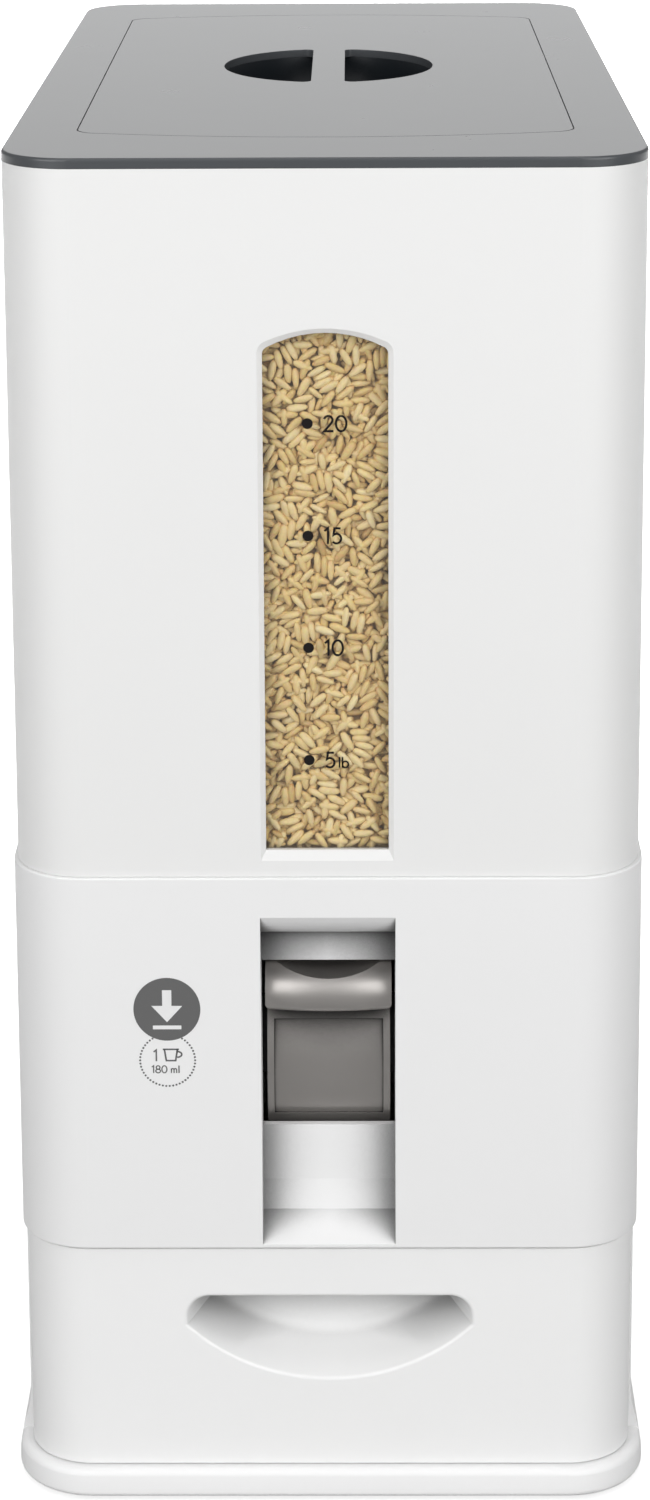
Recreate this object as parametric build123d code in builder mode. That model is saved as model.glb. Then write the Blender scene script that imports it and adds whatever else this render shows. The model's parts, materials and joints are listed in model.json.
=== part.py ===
"""Rice dispenser: a storage bin over a one-press measuring unit and a rice drawer.

The dispenser stands on the floor plane with its front towards -Y, +X to its right and +Z up.
The origin is on the floor, at the centre of the footprint. All sizes are in millimetres.

From the floor up it is a flared base frame on rubber feet, a drawer that slides out of that
frame, a housing with the measuring unit and its press lever, a storage bin with a sloping floor
and a tall window, and a lid that drops into a frame on top. Angles round the lever's pivot are
counted from 0, straight to the front, through 90, straight up.
"""

import os
from math import asin, atan2, cos, degrees, radians, sin, tan

from build123d import *

os.makedirs("parts", exist_ok=True)

# --- Storage bin and the outlines that follow it
body_width = 202.0
body_depth = 402.0
body_corner = 22.0
bin_height = 229.6
bin_wall = 2.8
housing_step = 1.25  # the housing stands this much outside the bin, all round
base_inset = 0.75  # the base frame stands this much inside the housing, all round

# --- Base frame, feet and skirt
foot_stand = 0.8
foot_radius = 9.0
foot_sunk = 1.0
foot_from_side = 26.0
base_height = 88.4
base_wall = 3.0
base_floor = 3.0
lip_height = 9.7
lip_round = 2.4
skirt_spread = 3.5
skirt_foot = 7.2
skirt_rise = 13.0
skirt_sweep = 30.0  # radius that eases the flare into the wall and into the foot
skirt_round = 2.0
runner_width = 6.0
flange_reach = 9.0
flange_thick = 2.5

# --- Drawer
drawer_seam = 0.5  # gap round the drawer front
drawer_inset = 1.0
drawer_front_wall = 3.0
drawer_front_return = 24.0  # how far the front wraps back along each side
drawer_box_wall = 2.4
drawer_box_floor = 2.4
box_below_front = 4.2  # the box is this much lower than the front
box_back_gap = 9.0
drawer_box_corner = 10.0
drawer_side_gap = 2.0
drawer_boss_radius = 4.5
drawer_boss_inset = 25.5
boss_above_bottom = 15.0
boss_below_top = 18.2
runner_gap = 0.2
finger_width = 94.2
finger_below_top = 17.3
finger_upright = 9.9  # height of the recess down to the end of its upright sides
finger_height = 29.1
finger_corner = 7.0
finger_depth = 20.0
finger_back_width = 76.0
finger_undercut = 3.0
finger_back_height = 24.0
finger_bowl_round = 5.0
finger_edge_round = 1.2
finger_wall = 2.2

# --- Housing and its lever niche
niche_roof = 13.3  # from the niche up to the housing's top
housing_wall = 3.0
deck_thick = 2.5
niche_width = 43.4
niche_depth = 12.2
niche_cove_rise = 9.3
niche_cove_share = 0.38  # how far up and out the middle of the cove stands
niche_bend_rise = 18.8
niche_ramp_rise = 8.8
niche_ramp_lean = 1.5
niche_sill = 1.4
niche_wall = 2.5
lever_slot_lintel = 10.0
lever_slot_gap = 0.5
edge_round = 0.5
chute_height = 9.0
chute_slack = 2.5
chute_wall = 2.0
chute_flange = 4.0
chute_flange_thick = 2.0
chute_below = 2.0
chute_fit = 0.3
tab_size = 22.0
tab_thick = 2.5
nest_depth = 12.0
nest_gap = 0.4
nest_wall = 2.5
bin_boss_radius = 4.5
bin_boss_height = 30.0

# --- Measuring chamber, rotor and lever
lever_behind_niche = 1.85  # from the niche's back to the lever's shield
chute_clear = 4.5  # from the gates' sweep down to the chute
chamber_width = 119.0
chamber_slot = 20.3
chamber_wall = 2.5
gate_radius = 38.0
gate_gap = 0.4
gate_thick = 2.4
gate_overlap = 2.0  # degrees that a closed gate reaches past the mouth's edge
press_angle = 36.0
plate_gap = 1.0
plate_play = 0.2
rotor_plate = 3.0
hub_radius = 9.0
boss_radius = 7.0
pin_radius = 3.0
pin_play = 0.05
pin_head_radius = 5.5
pin_head_thick = 1.8
bridge_low = -8.0
bridge_high = 30.0
bracket_spread = 45.0
bracket_thick = 3.0
bracket_clear = 2.0  # from the gates' sweep to the bracket's leg
bracket_leg = 17.0
bracket_half = 18.0
bracket_foot_width = 24.0
bracket_foot_length = 12.0
bracket_screw_step = 7.0
post_height = 6.0
post_radius = 4.2
lever_stand = 9.4  # from the gates' outside to the lever's face
lever_thick = 2.4
lever_width = 40.2
handle_span = 41.0
handle_round = 2.0
rib_spread = 12.0
rib_thick = 3.0
lever_low = -24.0
lever_tuck = 1.6  # the lever's foot reaches this far below the slot, out of sight
lever_high = 62.0
panel_low = -19.7
panel_high = 19.0
panel_border = 2.2
panel_sunk = 0.7
handle_back_up = 38.2  # heights of the handle's section above the pivot
handle_under_up = 22.4
curl_stand = 4.6  # how far the handle's points stand out of the lever's face
nose_up = 26.0
nose_stand = 8.0
crest_stand = -1.0
handle_bow = 95.0  # radius of the handle's front, seen from above
handle_turn = 14.0
handle_corner = 2.6
scoop_radius = 41.5
scoop_deep = 4.6
spring_radius = 5.4
spring_wire = 1.2
spring_turns = 9.0
spring_out = 9.0  # spring axis outside the rotor's end plate
arm_radius = 36.5
arm_angle = 18.0
arm_rod = 3.0
arm_length = 16.0

# --- Bin floor, outlet and window
floor_thick = 2.6
back_slope = 12.5
front_slope = 32.0
side_slope = 38.0
neck_height = 4.0
neck_inset = 1.0
window_width = 39.2
sill_above_seam = 8.9
window_arch = 5.3
window_below_top = 51.7
window_corner = 2.5
window_bevel = 1.6
sill_bevel = 3.4
bevel_deep = 1.1
gasket_thick = 0.8
gasket_inset = 0.6
pane_flange = 4.0
sill_flange = 2.8
pane_thick = 1.8
pane_gap = 0.15

# --- Top frame and lid
plate_thick = 3.3
frame_skirt = 13.0
frame_skirt_wall = 2.5
frame_skirt_gap = 0.4
lid_side_margin = 21.2
lid_end_margin = 41.0
lid_bow = 11.0
lid_corner = 8.0
lid_gap = 0.35
lid_thick = 2.8
ledge_width = 3.8
ledge_thick = 2.5
frame_round = 0.9
collar_height = 17.0
collar_wall = 2.4
handle_width = 76.0
handle_length = 90.0
handle_behind = 9.0
bridge_width = 11.8
pocket_depth = 22.0
pocket_wall = 2.0
pocket_taper = 5.0
hole_corner = 3.0
liner_wall = 2.2
liner_height = 12.0
liner_gap = 0.9
seal_height = 3.0
seal_groove = 1.0
seal_drop = 5.0
lid_seal_gap = 0.3

# --- Self-tapping screws
screw_radius = 1.5
screw_head_radius = 3.0
screw_head_thick = 2.0
screw_length = 5.0
screw_play = 0.1

# --- Places worked out from the sizes above
base_bottom = foot_stand
base_top = base_bottom + base_height
deck_top = base_top + deck_thick
gate_inner = gate_radius + gate_gap
gate_outer = gate_inner + gate_thick
pivot_height = deck_top + chute_height + chute_clear + gate_outer
lever_radius = gate_outer + lever_stand
handle_top = pivot_height + handle_back_up
lever_slot_top = handle_top + lever_slot_gap
lever_slot_bottom = pivot_height + lever_radius * sin(radians(lever_low)) + lever_tuck
niche_ceiling_foot = lever_slot_top + lever_slot_lintel
niche_top = niche_ceiling_foot + niche_cove_rise
niche_bend = base_top + niche_bend_rise
niche_ramp_top = base_top + niche_ramp_rise
niche_bottom = base_top + niche_sill
housing_top = niche_top + niche_roof
housing_height = housing_top - base_top
bin_top = housing_top + bin_height
top = bin_top + plate_thick

housing_width = body_width + 2 * housing_step
housing_depth = body_depth + 2 * housing_step
housing_corner = body_corner + housing_step
base_width = housing_width - 2 * base_inset
base_depth = housing_depth - 2 * base_inset
base_corner = housing_corner - base_inset
housing_front = -housing_depth / 2
housing_inner_width = housing_width - 2 * housing_wall
housing_inner_depth = housing_depth - 2 * housing_wall
housing_inner_corner = housing_corner - housing_wall
base_inner_width = base_width - 2 * base_wall
base_inner_depth = base_depth - 2 * base_wall
base_inner_corner = base_corner - base_wall
floor_top = base_bottom + base_floor
lip_top = base_bottom + lip_height

drawer_bottom = lip_top + drawer_seam
drawer_front_top = base_top - 2 * drawer_seam
drawer_width = base_width - 2 * drawer_inset
drawer_depth = base_depth - 2 * drawer_inset
drawer_corner = base_corner - drawer_inset
drawer_front = -drawer_depth / 2
drawer_front_end = drawer_front + drawer_front_return
box_width = base_inner_width - 2 * drawer_side_gap
box_back = base_inner_depth / 2 - box_back_gap
box_length = box_back - drawer_front_end
box_height = drawer_front_top - drawer_bottom - box_below_front
drawer_boss_x = drawer_width / 2 - drawer_boss_inset
drawer_boss_low = drawer_bottom + boss_above_bottom
drawer_boss_high = drawer_front_top - boss_below_top
finger_top = drawer_front_top - finger_below_top
finger_side = finger_top - finger_upright
finger_bottom = finger_top - finger_height
finger_back_top = finger_top + finger_undercut
finger_back_side = finger_back_top - finger_upright
finger_back_bottom = finger_back_top - finger_back_height

niche_front = housing_front
niche_back = niche_front + niche_depth
niche_cove_y = niche_front + niche_cove_share * niche_depth
niche_cove_z = niche_ceiling_foot + niche_cove_share * niche_cove_rise
pivot_y = niche_back + lever_behind_niche + lever_radius
nest_width = housing_inner_width - 2 * nest_gap
nest_length = housing_inner_depth - 2 * nest_gap
nest_corner = housing_inner_corner - nest_gap
nest_bottom = housing_top - nest_depth
bin_inner_width = body_width - 2 * bin_wall
bin_inner_depth = body_depth - 2 * bin_wall
bin_inner_corner = body_corner - bin_wall

chamber_outer_width = chamber_width + 2 * chamber_wall
chamber_outer_slot = chamber_slot + 2 * chamber_wall
rotor_inner = chamber_outer_width / 2 + plate_gap
rotor_outer = rotor_inner + rotor_plate
mouth_angle = degrees(asin(chamber_slot / 2 / gate_radius))
gate_half = mouth_angle + gate_overlap
bracket_front = pivot_y + gate_outer + bracket_clear
bracket_back = bracket_front + bracket_leg
bracket_screw_y = bracket_back + bracket_foot_length / 2
arm_y = pivot_y - arm_radius * cos(radians(arm_angle))
arm_z = pivot_height + arm_radius * sin(radians(arm_angle))
spring_x = rotor_outer + spring_out
spring_height = arm_z - arm_rod - deck_top
chute_width = chamber_width + 2 * chute_slack
chute_slot = chamber_slot + 2 * chute_slack
chute_outer_width = chute_width + 2 * chute_wall
chute_outer_slot = chute_slot + 2 * chute_wall

neck_width = chamber_width - 2 * neck_inset
neck_slot = chamber_slot - 2 * neck_inset
neck_top = pivot_height + gate_outer + gate_gap + neck_height
window_half = window_width / 2
window_bottom = housing_top + sill_above_seam
window_top = bin_top - window_below_top
lid_width = body_width - 2 * lid_side_margin
lid_length = body_depth - 2 * lid_end_margin
frame_width = bin_inner_width - 2 * frame_skirt_gap
frame_depth = bin_inner_depth - 2 * frame_skirt_gap
frame_corner = bin_inner_corner - frame_skirt_gap
lid_bottom = top - lid_thick
upper_gate = 90 + press_angle
lower_gate = -90.0
drawer_plane = Plane.XZ.offset(drawer_depth / 2)
bin_plane = Plane.XZ.offset(body_depth / 2)
liner_grow = -ledge_width - liner_gap


def polar(radius, angle):
    """Point (y, z) at a radius from the lever's pivot; angle 0 is to the front, 90 is up."""
    turn = radians(angle)
    return (pivot_y - radius * cos(turn), pivot_height + radius * sin(turn))


def above_pivot(out, up):
    """Point (y, z) at a distance out to the front and up from the lever's pivot."""
    return (pivot_y - out, pivot_height + up)


def shield_out(up):
    """How far in front of the pivot the middle of the lever's shield is, at a height above it."""
    return ((lever_radius - lever_thick / 2) ** 2 - up**2) ** 0.5


def arc_band(inner, outer, start, end):
    """Closed band between two radii and two angles round the pivot, as lines in the YZ sketch."""
    middle = (start + end) / 2
    ThreePointArc(polar(inner, start), polar(inner, middle), polar(inner, end))
    ThreePointArc(polar(outer, start), polar(outer, middle), polar(outer, end))
    Line(polar(inner, start), polar(outer, start))
    Line(polar(inner, end), polar(outer, end))


def finger_outline(width, side, bottom, upper):
    """Lines of the finger recess: a straight top with round corners over a shallow bowl."""
    half = width / 2
    corner = finger_corner
    tuck = corner * (1 - sin(radians(45)))
    Line((-half + corner, upper), (half - corner, upper))
    ThreePointArc((half - corner, upper), (half - tuck, upper - tuck), (half, upper - corner))
    Line((half, upper - corner), (half, side))
    ThreePointArc((half, side), (0, bottom), (-half, side))
    Line((-half, side), (-half, upper - corner))
    ThreePointArc((-half, upper - corner), (-half + tuck, upper - tuck), (-half + corner, upper))


def lid_outline(grow):
    """Lines of the lid's edge, grown outward: straight sides and gently bowed ends."""
    half_width = lid_width / 2 + grow
    half_length = lid_length / 2 + grow
    shoulder = half_length - lid_bow
    Line((-half_width, -shoulder), (-half_width, shoulder))
    ThreePointArc((-half_width, shoulder), (0, half_length), (half_width, shoulder))
    Line((half_width, shoulder), (half_width, -shoulder))
    ThreePointArc((half_width, -shoulder), (0, -half_length), (-half_width, -shoulder))


def window_outline(side, sill, head):
    """Lines of the window, grown at sides, sill and head: an arch with rounded shoulders."""
    half = window_half + side
    low = window_bottom - sill
    crown = window_top + head
    arch = (half**2 + window_arch**2) / (2 * window_arch)
    arch_middle = crown - arch
    corner = window_corner + side
    rise = ((arch - corner) ** 2 - (half - corner) ** 2) ** 0.5
    shoulder = arch_middle + rise
    meet_x = (half - corner) * arch / (arch - corner)
    meet_y = arch_middle + rise * arch / (arch - corner)
    Line((-half, low), (half, low))
    Line((half, low), (half, shoulder))
    TangentArc((half, shoulder), (meet_x, meet_y), tangent=(0, 1))
    ThreePointArc((meet_x, meet_y), (0, crown), (-meet_x, meet_y))
    TangentArc((-half, shoulder), (-meet_x, meet_y), tangent=(0, 1))
    Line((-half, shoulder), (-half, low))


def niche_outline(front, foot):
    """Lines of the niche's side view: cove ceiling, upright back and a ramp out to the front."""
    Line((front, niche_top), (niche_front, niche_top))
    ThreePointArc(
        (niche_front, niche_top), (niche_cove_y, niche_cove_z), (niche_back, niche_ceiling_foot)
    )
    Line((niche_back, niche_ceiling_foot), (niche_back, niche_bend))
    Line((niche_back, niche_bend), (niche_back - niche_ramp_lean, niche_ramp_top))
    Line((niche_back - niche_ramp_lean, niche_ramp_top), (niche_front, foot))
    Line((niche_front, foot), (front, foot))
    Line((front, foot), (front, niche_top))


def hopper_outline(reach, slope_low, slope_high, half, drop):
    """Lines of the hopper's side view, grown downward: a neck, two slopes and a mouth."""
    slip_low = drop * (1 / cos(radians(slope_low)) - tan(radians(slope_low)))
    slip_high = drop * (1 / cos(radians(slope_high)) - tan(radians(slope_high)))
    outer = half + drop
    rise_low = (reach - outer) * tan(radians(slope_low)) - slip_low
    rise_high = (reach - outer) * tan(radians(slope_high)) - slip_high
    Polyline(
        (-outer, pivot_height + gate_radius),
        (-outer, neck_top - slip_low),
        (-reach, neck_top + rise_low),
        (-reach, top + reach),
        (reach, top + reach),
        (reach, neck_top + rise_high),
        (outer, neck_top - slip_high),
        (outer, pivot_height + gate_radius),
        close=True,
    )


def edges_at(piece, axis, place, slack=0.01):
    """Edges of a piece whose middles lie at a place along an axis."""
    return piece.edges().filter_by_position(axis, place - slack, place + slack)


def foot_places():
    """Places of the four feet."""
    return GridLocations(base_width - 2 * foot_from_side, base_depth - 2 * foot_from_side, 2, 2)


def drawer_screw_places():
    """Places, across and up, of the four screws between the drawer's box and its front."""
    return Locations(
        *[
            (side * drawer_boss_x, height)
            for side in (-1, 1)
            for height in (drawer_boss_low, drawer_boss_high)
        ]
    )


def spring_places():
    """Places of the two return springs on the deck."""
    return Locations((-spring_x, arm_y), (spring_x, arm_y))


def corner_screw_places():
    """Places of the four screws that hold the bin to the housing's corner tabs."""
    half_width = housing_inner_width / 2 - tab_size / 2
    half_depth = housing_inner_depth / 2 - tab_size / 2
    return GridLocations(2 * half_width, 2 * half_depth, 2, 2)


def flange_screw_places():
    """Places of the screws through the housing's deck into the base frame's side flanges."""
    reach = base_inner_width - flange_reach
    return GridLocations(reach, base_depth / 3, 2, 3)


def bracket_screw_places():
    """Places of the four screws that hold the measuring chamber's feet."""
    return Locations(
        *[
            (side * bracket_spread + shift * bracket_screw_step, bracket_screw_y)
            for side in (-1, 1)
            for shift in (-1, 1)
        ]
    )


handle_root = above_pivot(shield_out(handle_under_up), handle_under_up)
handle_curl = above_pivot(lever_radius + curl_stand, handle_under_up)
handle_nose = above_pivot(lever_radius + nose_stand, nose_up)
handle_crest = above_pivot(lever_radius + crest_stand, handle_back_up)
handle_back = above_pivot(shield_out(handle_back_up), handle_back_up)
handle_axis = Axis((0, handle_nose[0] + handle_bow, 0), (0, 0, 1))


# --- Base frame: flared skirt, floor, three walls, runners and the flange that carries the deck
with BuildPart() as base_frame:
    skirt_width = base_width + 2 * skirt_spread
    skirt_depth = base_depth + 2 * skirt_spread
    with BuildSketch(Plane.XY.offset(base_bottom)):
        RectangleRounded(skirt_width, skirt_depth, base_corner + skirt_spread)
    extrude(amount=skirt_foot)
    fillet(base_frame.edges().group_by(Axis.Z)[0], skirt_round)
    with BuildSketch(Plane.XY.offset(base_bottom + skirt_foot)):
        RectangleRounded(skirt_width, skirt_depth, base_corner + skirt_spread)
    extrude(amount=skirt_rise, taper=degrees(atan2(skirt_spread, skirt_rise)))
    with BuildSketch(Plane.XY.offset(base_bottom + skirt_foot)):
        RectangleRounded(base_width, base_depth, base_corner)
    extrude(amount=base_height - skirt_foot)
    fillet(edges_at(base_frame, Axis.Z, base_bottom + skirt_foot), skirt_sweep)
    fillet(edges_at(base_frame, Axis.Z, base_bottom + skirt_foot + skirt_rise), skirt_sweep)
    with BuildSketch(Plane.XY.offset(lip_top)):
        with Locations((0, drawer_front_end + drawer_seam)):
            Rectangle(2 * base_width, base_depth, align=(Align.CENTER, Align.MAX))
    extrude(amount=base_height, mode=Mode.SUBTRACT)
    lip_edges = edges_at(base_frame, Axis.Z, lip_top)
    fillet(lip_edges.sort_by(Axis.Y)[:-1], lip_round)
    with BuildSketch(Plane.XY.offset(floor_top)):
        RectangleRounded(base_inner_width, base_inner_depth, base_inner_corner)
    extrude(amount=base_top - flange_thick - floor_top, mode=Mode.SUBTRACT)
    with BuildSketch(Plane.XY.offset(base_top - flange_thick)):
        RectangleRounded(
            base_inner_width - 2 * flange_reach,
            base_inner_depth - 2 * flange_reach,
            base_inner_corner - flange_reach,
        )
        with flange_screw_places():
            Circle(screw_radius + screw_play)
    extrude(amount=flange_thick, mode=Mode.SUBTRACT)
    with BuildSketch(Plane.XY.offset(floor_top)):
        with GridLocations(base_inner_width - runner_width, 0, 2, 1):
            Rectangle(runner_width, base_inner_depth - 2 * base_inner_corner)
    extrude(amount=drawer_bottom - runner_gap - floor_top)
    with BuildSketch(Plane.XY.offset(base_bottom)):
        with foot_places():
            Circle(foot_radius)
    extrude(amount=foot_sunk, mode=Mode.SUBTRACT)
base_frame.part.label = "base_frame"
export_step(base_frame.part, "parts/base_frame.step")

with BuildPart() as rubber_feet:
    with BuildSketch():
        with foot_places():
            Circle(foot_radius)
    extrude(amount=foot_stand + foot_sunk)
rubber_feet.part.label = "rubber_feet"
export_step(rubber_feet.part, "parts/rubber_feet.step")

with BuildPart() as base_screws:
    with BuildSketch(Plane.XY.offset(base_top - flange_thick)):
        with flange_screw_places():
            Circle(screw_radius)
    extrude(amount=screw_length)
    with BuildSketch(Plane.XY.offset(base_top - flange_thick)):
        with flange_screw_places():
            Circle(screw_head_radius)
    extrude(amount=-screw_head_thick)
base_screws.part.label = "base_screws"
export_step(base_screws.part, "parts/base_screws.step")

# --- Drawer front: a panel wrapped round both corners, with a finger recess undercut at its top
with BuildPart() as drawer_front_panel:
    with BuildSketch(Plane.XY.offset(drawer_bottom)):
        RectangleRounded(drawer_width, drawer_depth, drawer_corner)
        RectangleRounded(
            drawer_width - 2 * drawer_front_wall,
            drawer_depth - 2 * drawer_front_wall,
            drawer_corner - drawer_front_wall,
            mode=Mode.SUBTRACT,
        )
        with Locations((0, drawer_front_end)):
            Rectangle(
                2 * drawer_width,
                2 * drawer_depth,
                align=(Align.CENTER, Align.MIN),
                mode=Mode.SUBTRACT,
            )
    extrude(amount=drawer_front_top - drawer_bottom)
    fillet(drawer_front_panel.edges().group_by(Axis.Z)[-1], edge_round)
    with BuildSketch(drawer_plane.offset(-drawer_front_wall / 2)):
        with BuildLine():
            finger_outline(
                finger_width + 2 * finger_wall,
                finger_side,
                finger_bottom - finger_wall,
                finger_top + finger_wall,
            )
        make_face()
    with BuildSketch(drawer_plane.offset(-finger_depth - finger_wall)):
        with BuildLine():
            finger_outline(
                finger_back_width + 2 * finger_wall,
                finger_back_side,
                finger_back_bottom - finger_wall,
                finger_back_top + finger_wall,
            )
        make_face()
    loft(ruled=True)
    with BuildSketch(drawer_plane.offset(-drawer_front_wall / 2)):
        with drawer_screw_places():
            Circle(drawer_boss_radius)
    extrude(amount=-(drawer_front_return - drawer_front_wall / 2))
    with BuildSketch(drawer_plane.offset(-drawer_front_return)):
        with drawer_screw_places():
            Circle(screw_radius + screw_play)
    extrude(amount=screw_length, mode=Mode.SUBTRACT)
    with BuildSketch(drawer_plane):
        with BuildLine():
            finger_outline(finger_width, finger_side, finger_bottom, finger_top)
        make_face()
    with BuildSketch(drawer_plane.offset(-finger_depth)):
        with BuildLine():
            finger_outline(
                finger_back_width,
                finger_back_side,
                finger_back_bottom,
                finger_back_top,
            )
        make_face()
    loft(ruled=True, mode=Mode.SUBTRACT)
    fillet(edges_at(drawer_front_panel, Axis.Y, drawer_front + finger_depth), finger_bowl_round)
    face_edges = edges_at(drawer_front_panel, Axis.Y, drawer_front)
    fillet(
        face_edges.filter_by_position(Axis.X, -finger_width / 2 - 0.01, finger_width / 2 + 0.01)
        .filter_by_position(Axis.Z, finger_bottom - 1, finger_top + 1),
        finger_edge_round,
    )
drawer_front_panel.part.label = "drawer_front"
export_step(drawer_front_panel.part, "parts/drawer_front.step")

# --- Drawer box: an open tray screwed to the bosses behind the front
with BuildPart() as drawer_box:
    with BuildSketch(Plane.XY.offset(drawer_bottom)):
        with Locations((0, (drawer_front_end + box_back) / 2)):
            RectangleRounded(box_width, box_length, drawer_box_corner)
    extrude(amount=box_height)
    with BuildSketch(Plane.XY.offset(drawer_bottom + drawer_box_floor)):
        with Locations((0, (drawer_front_end + box_back) / 2)):
            RectangleRounded(
                box_width - 2 * drawer_box_wall,
                box_length - 2 * drawer_box_wall,
                drawer_box_corner - drawer_box_wall,
            )
    extrude(amount=box_height, mode=Mode.SUBTRACT)
    with BuildSketch(drawer_plane.offset(-drawer_front_return)):
        with drawer_screw_places():
            Circle(screw_radius + screw_play)
    extrude(amount=-drawer_box_wall, mode=Mode.SUBTRACT)
drawer_box.part.label = "drawer_box"
export_step(drawer_box.part, "parts/drawer_box.step")

with BuildPart() as drawer_screws:
    with BuildSketch(drawer_plane.offset(-drawer_front_return - drawer_box_wall)):
        with drawer_screw_places():
            Circle(screw_radius)
    extrude(amount=screw_length)
    with BuildSketch(drawer_plane.offset(-drawer_front_return - drawer_box_wall)):
        with drawer_screw_places():
            Circle(screw_head_radius)
    extrude(amount=-screw_head_thick)
drawer_screws.part.label = "drawer_screws"
export_step(drawer_screws.part, "parts/drawer_screws.step")

# --- Housing: a sleeve with a deck under the measuring unit and a niche for the lever
with BuildPart() as dispenser_housing:
    with BuildSketch(Plane.XY.offset(base_top)):
        RectangleRounded(housing_width, housing_depth, housing_corner)
        RectangleRounded(
            housing_inner_width, housing_inner_depth, housing_inner_corner, mode=Mode.SUBTRACT
        )
    extrude(amount=housing_height)
    fillet(dispenser_housing.edges().group_by(Axis.Z)[-1], edge_round)
    fillet(dispenser_housing.edges().group_by(Axis.Z)[0], edge_round)
    with BuildSketch(Plane.XY.offset(base_top)):
        RectangleRounded(
            housing_inner_width + housing_wall,
            housing_inner_depth + housing_wall,
            housing_inner_corner,
        )
        with Locations((0, pivot_y)):
            Rectangle(
                chute_outer_width + 2 * chute_fit,
                chute_outer_slot + 2 * chute_fit,
                mode=Mode.SUBTRACT,
            )
        with flange_screw_places():
            Circle(screw_radius + screw_play, mode=Mode.SUBTRACT)
        with bracket_screw_places():
            Circle(screw_radius + screw_play, mode=Mode.SUBTRACT)
    extrude(amount=deck_thick)
    with BuildSketch(Plane.XY.offset(nest_bottom - tab_thick)):
        with GridLocations(housing_inner_width - tab_size, housing_inner_depth - tab_size, 2, 2):
            Rectangle(tab_size + housing_wall, tab_size + housing_wall)
        RectangleRounded(
            housing_inner_width + housing_wall,
            housing_inner_depth + housing_wall,
            housing_inner_corner,
            mode=Mode.INTERSECT,
        )
        with corner_screw_places():
            Circle(screw_radius + screw_play, mode=Mode.SUBTRACT)
    extrude(amount=tab_thick)
    with BuildSketch(Plane.XY.offset(deck_top)):
        with spring_places():
            Circle(post_radius)
    extrude(amount=post_height)
    with BuildSketch(Plane.YZ):
        with Locations((niche_front + housing_wall / 2, base_top)):
            Rectangle(
                niche_depth + niche_wall - housing_wall / 2,
                nest_bottom - nest_gap - base_top,
                align=(Align.MIN, Align.MIN),
            )
    extrude(amount=niche_width / 2 + niche_wall, both=True)
    with BuildSketch(Plane.YZ):
        with BuildLine():
            niche_outline(niche_front - niche_depth, niche_bottom)
        make_face()
    extrude(amount=niche_width / 2, both=True, mode=Mode.SUBTRACT)
    with BuildSketch(Plane.XZ.offset(-niche_back)):
        with Locations((0, lever_slot_bottom)):
            Rectangle(
                niche_width,
                lever_slot_top - lever_slot_bottom,
                align=(Align.CENTER, Align.MIN),
            )
    extrude(amount=niche_wall, both=True, mode=Mode.SUBTRACT)
dispenser_housing.part.label = "dispenser_housing"
export_step(dispenser_housing.part, "parts/dispenser_housing.step")

with BuildPart() as housing_screws:
    with BuildSketch(Plane.XY.offset(nest_bottom - tab_thick)):
        with corner_screw_places():
            Circle(screw_radius)
    extrude(amount=screw_length)
    with BuildSketch(Plane.XY.offset(nest_bottom - tab_thick)):
        with corner_screw_places():
            Circle(screw_head_radius)
    extrude(amount=-screw_head_thick)
housing_screws.part.label = "housing_screws"
export_step(housing_screws.part, "parts/housing_screws.step")

# --- Outlet chute: a short tube hung in the deck by its flange
with BuildPart() as outlet_chute:
    with BuildSketch(Plane.XY.offset(base_top - chute_below)):
        with Locations((0, pivot_y)):
            Rectangle(chute_outer_width, chute_outer_slot)
    extrude(amount=chute_below + deck_thick + chute_height)
    with BuildSketch(Plane.XY.offset(deck_top)):
        with Locations((0, pivot_y)):
            Rectangle(chute_outer_width + 2 * chute_flange, chute_outer_slot + 2 * chute_flange)
    extrude(amount=chute_flange_thick)
    with BuildSketch(Plane.XY.offset(base_top - chute_below)):
        with Locations((0, pivot_y)):
            Rectangle(chute_width, chute_slot)
    extrude(amount=chute_below + deck_thick + chute_height, mode=Mode.SUBTRACT)
outlet_chute.part.label = "outlet_chute"
export_step(outlet_chute.part, "parts/outlet_chute.step")

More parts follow.
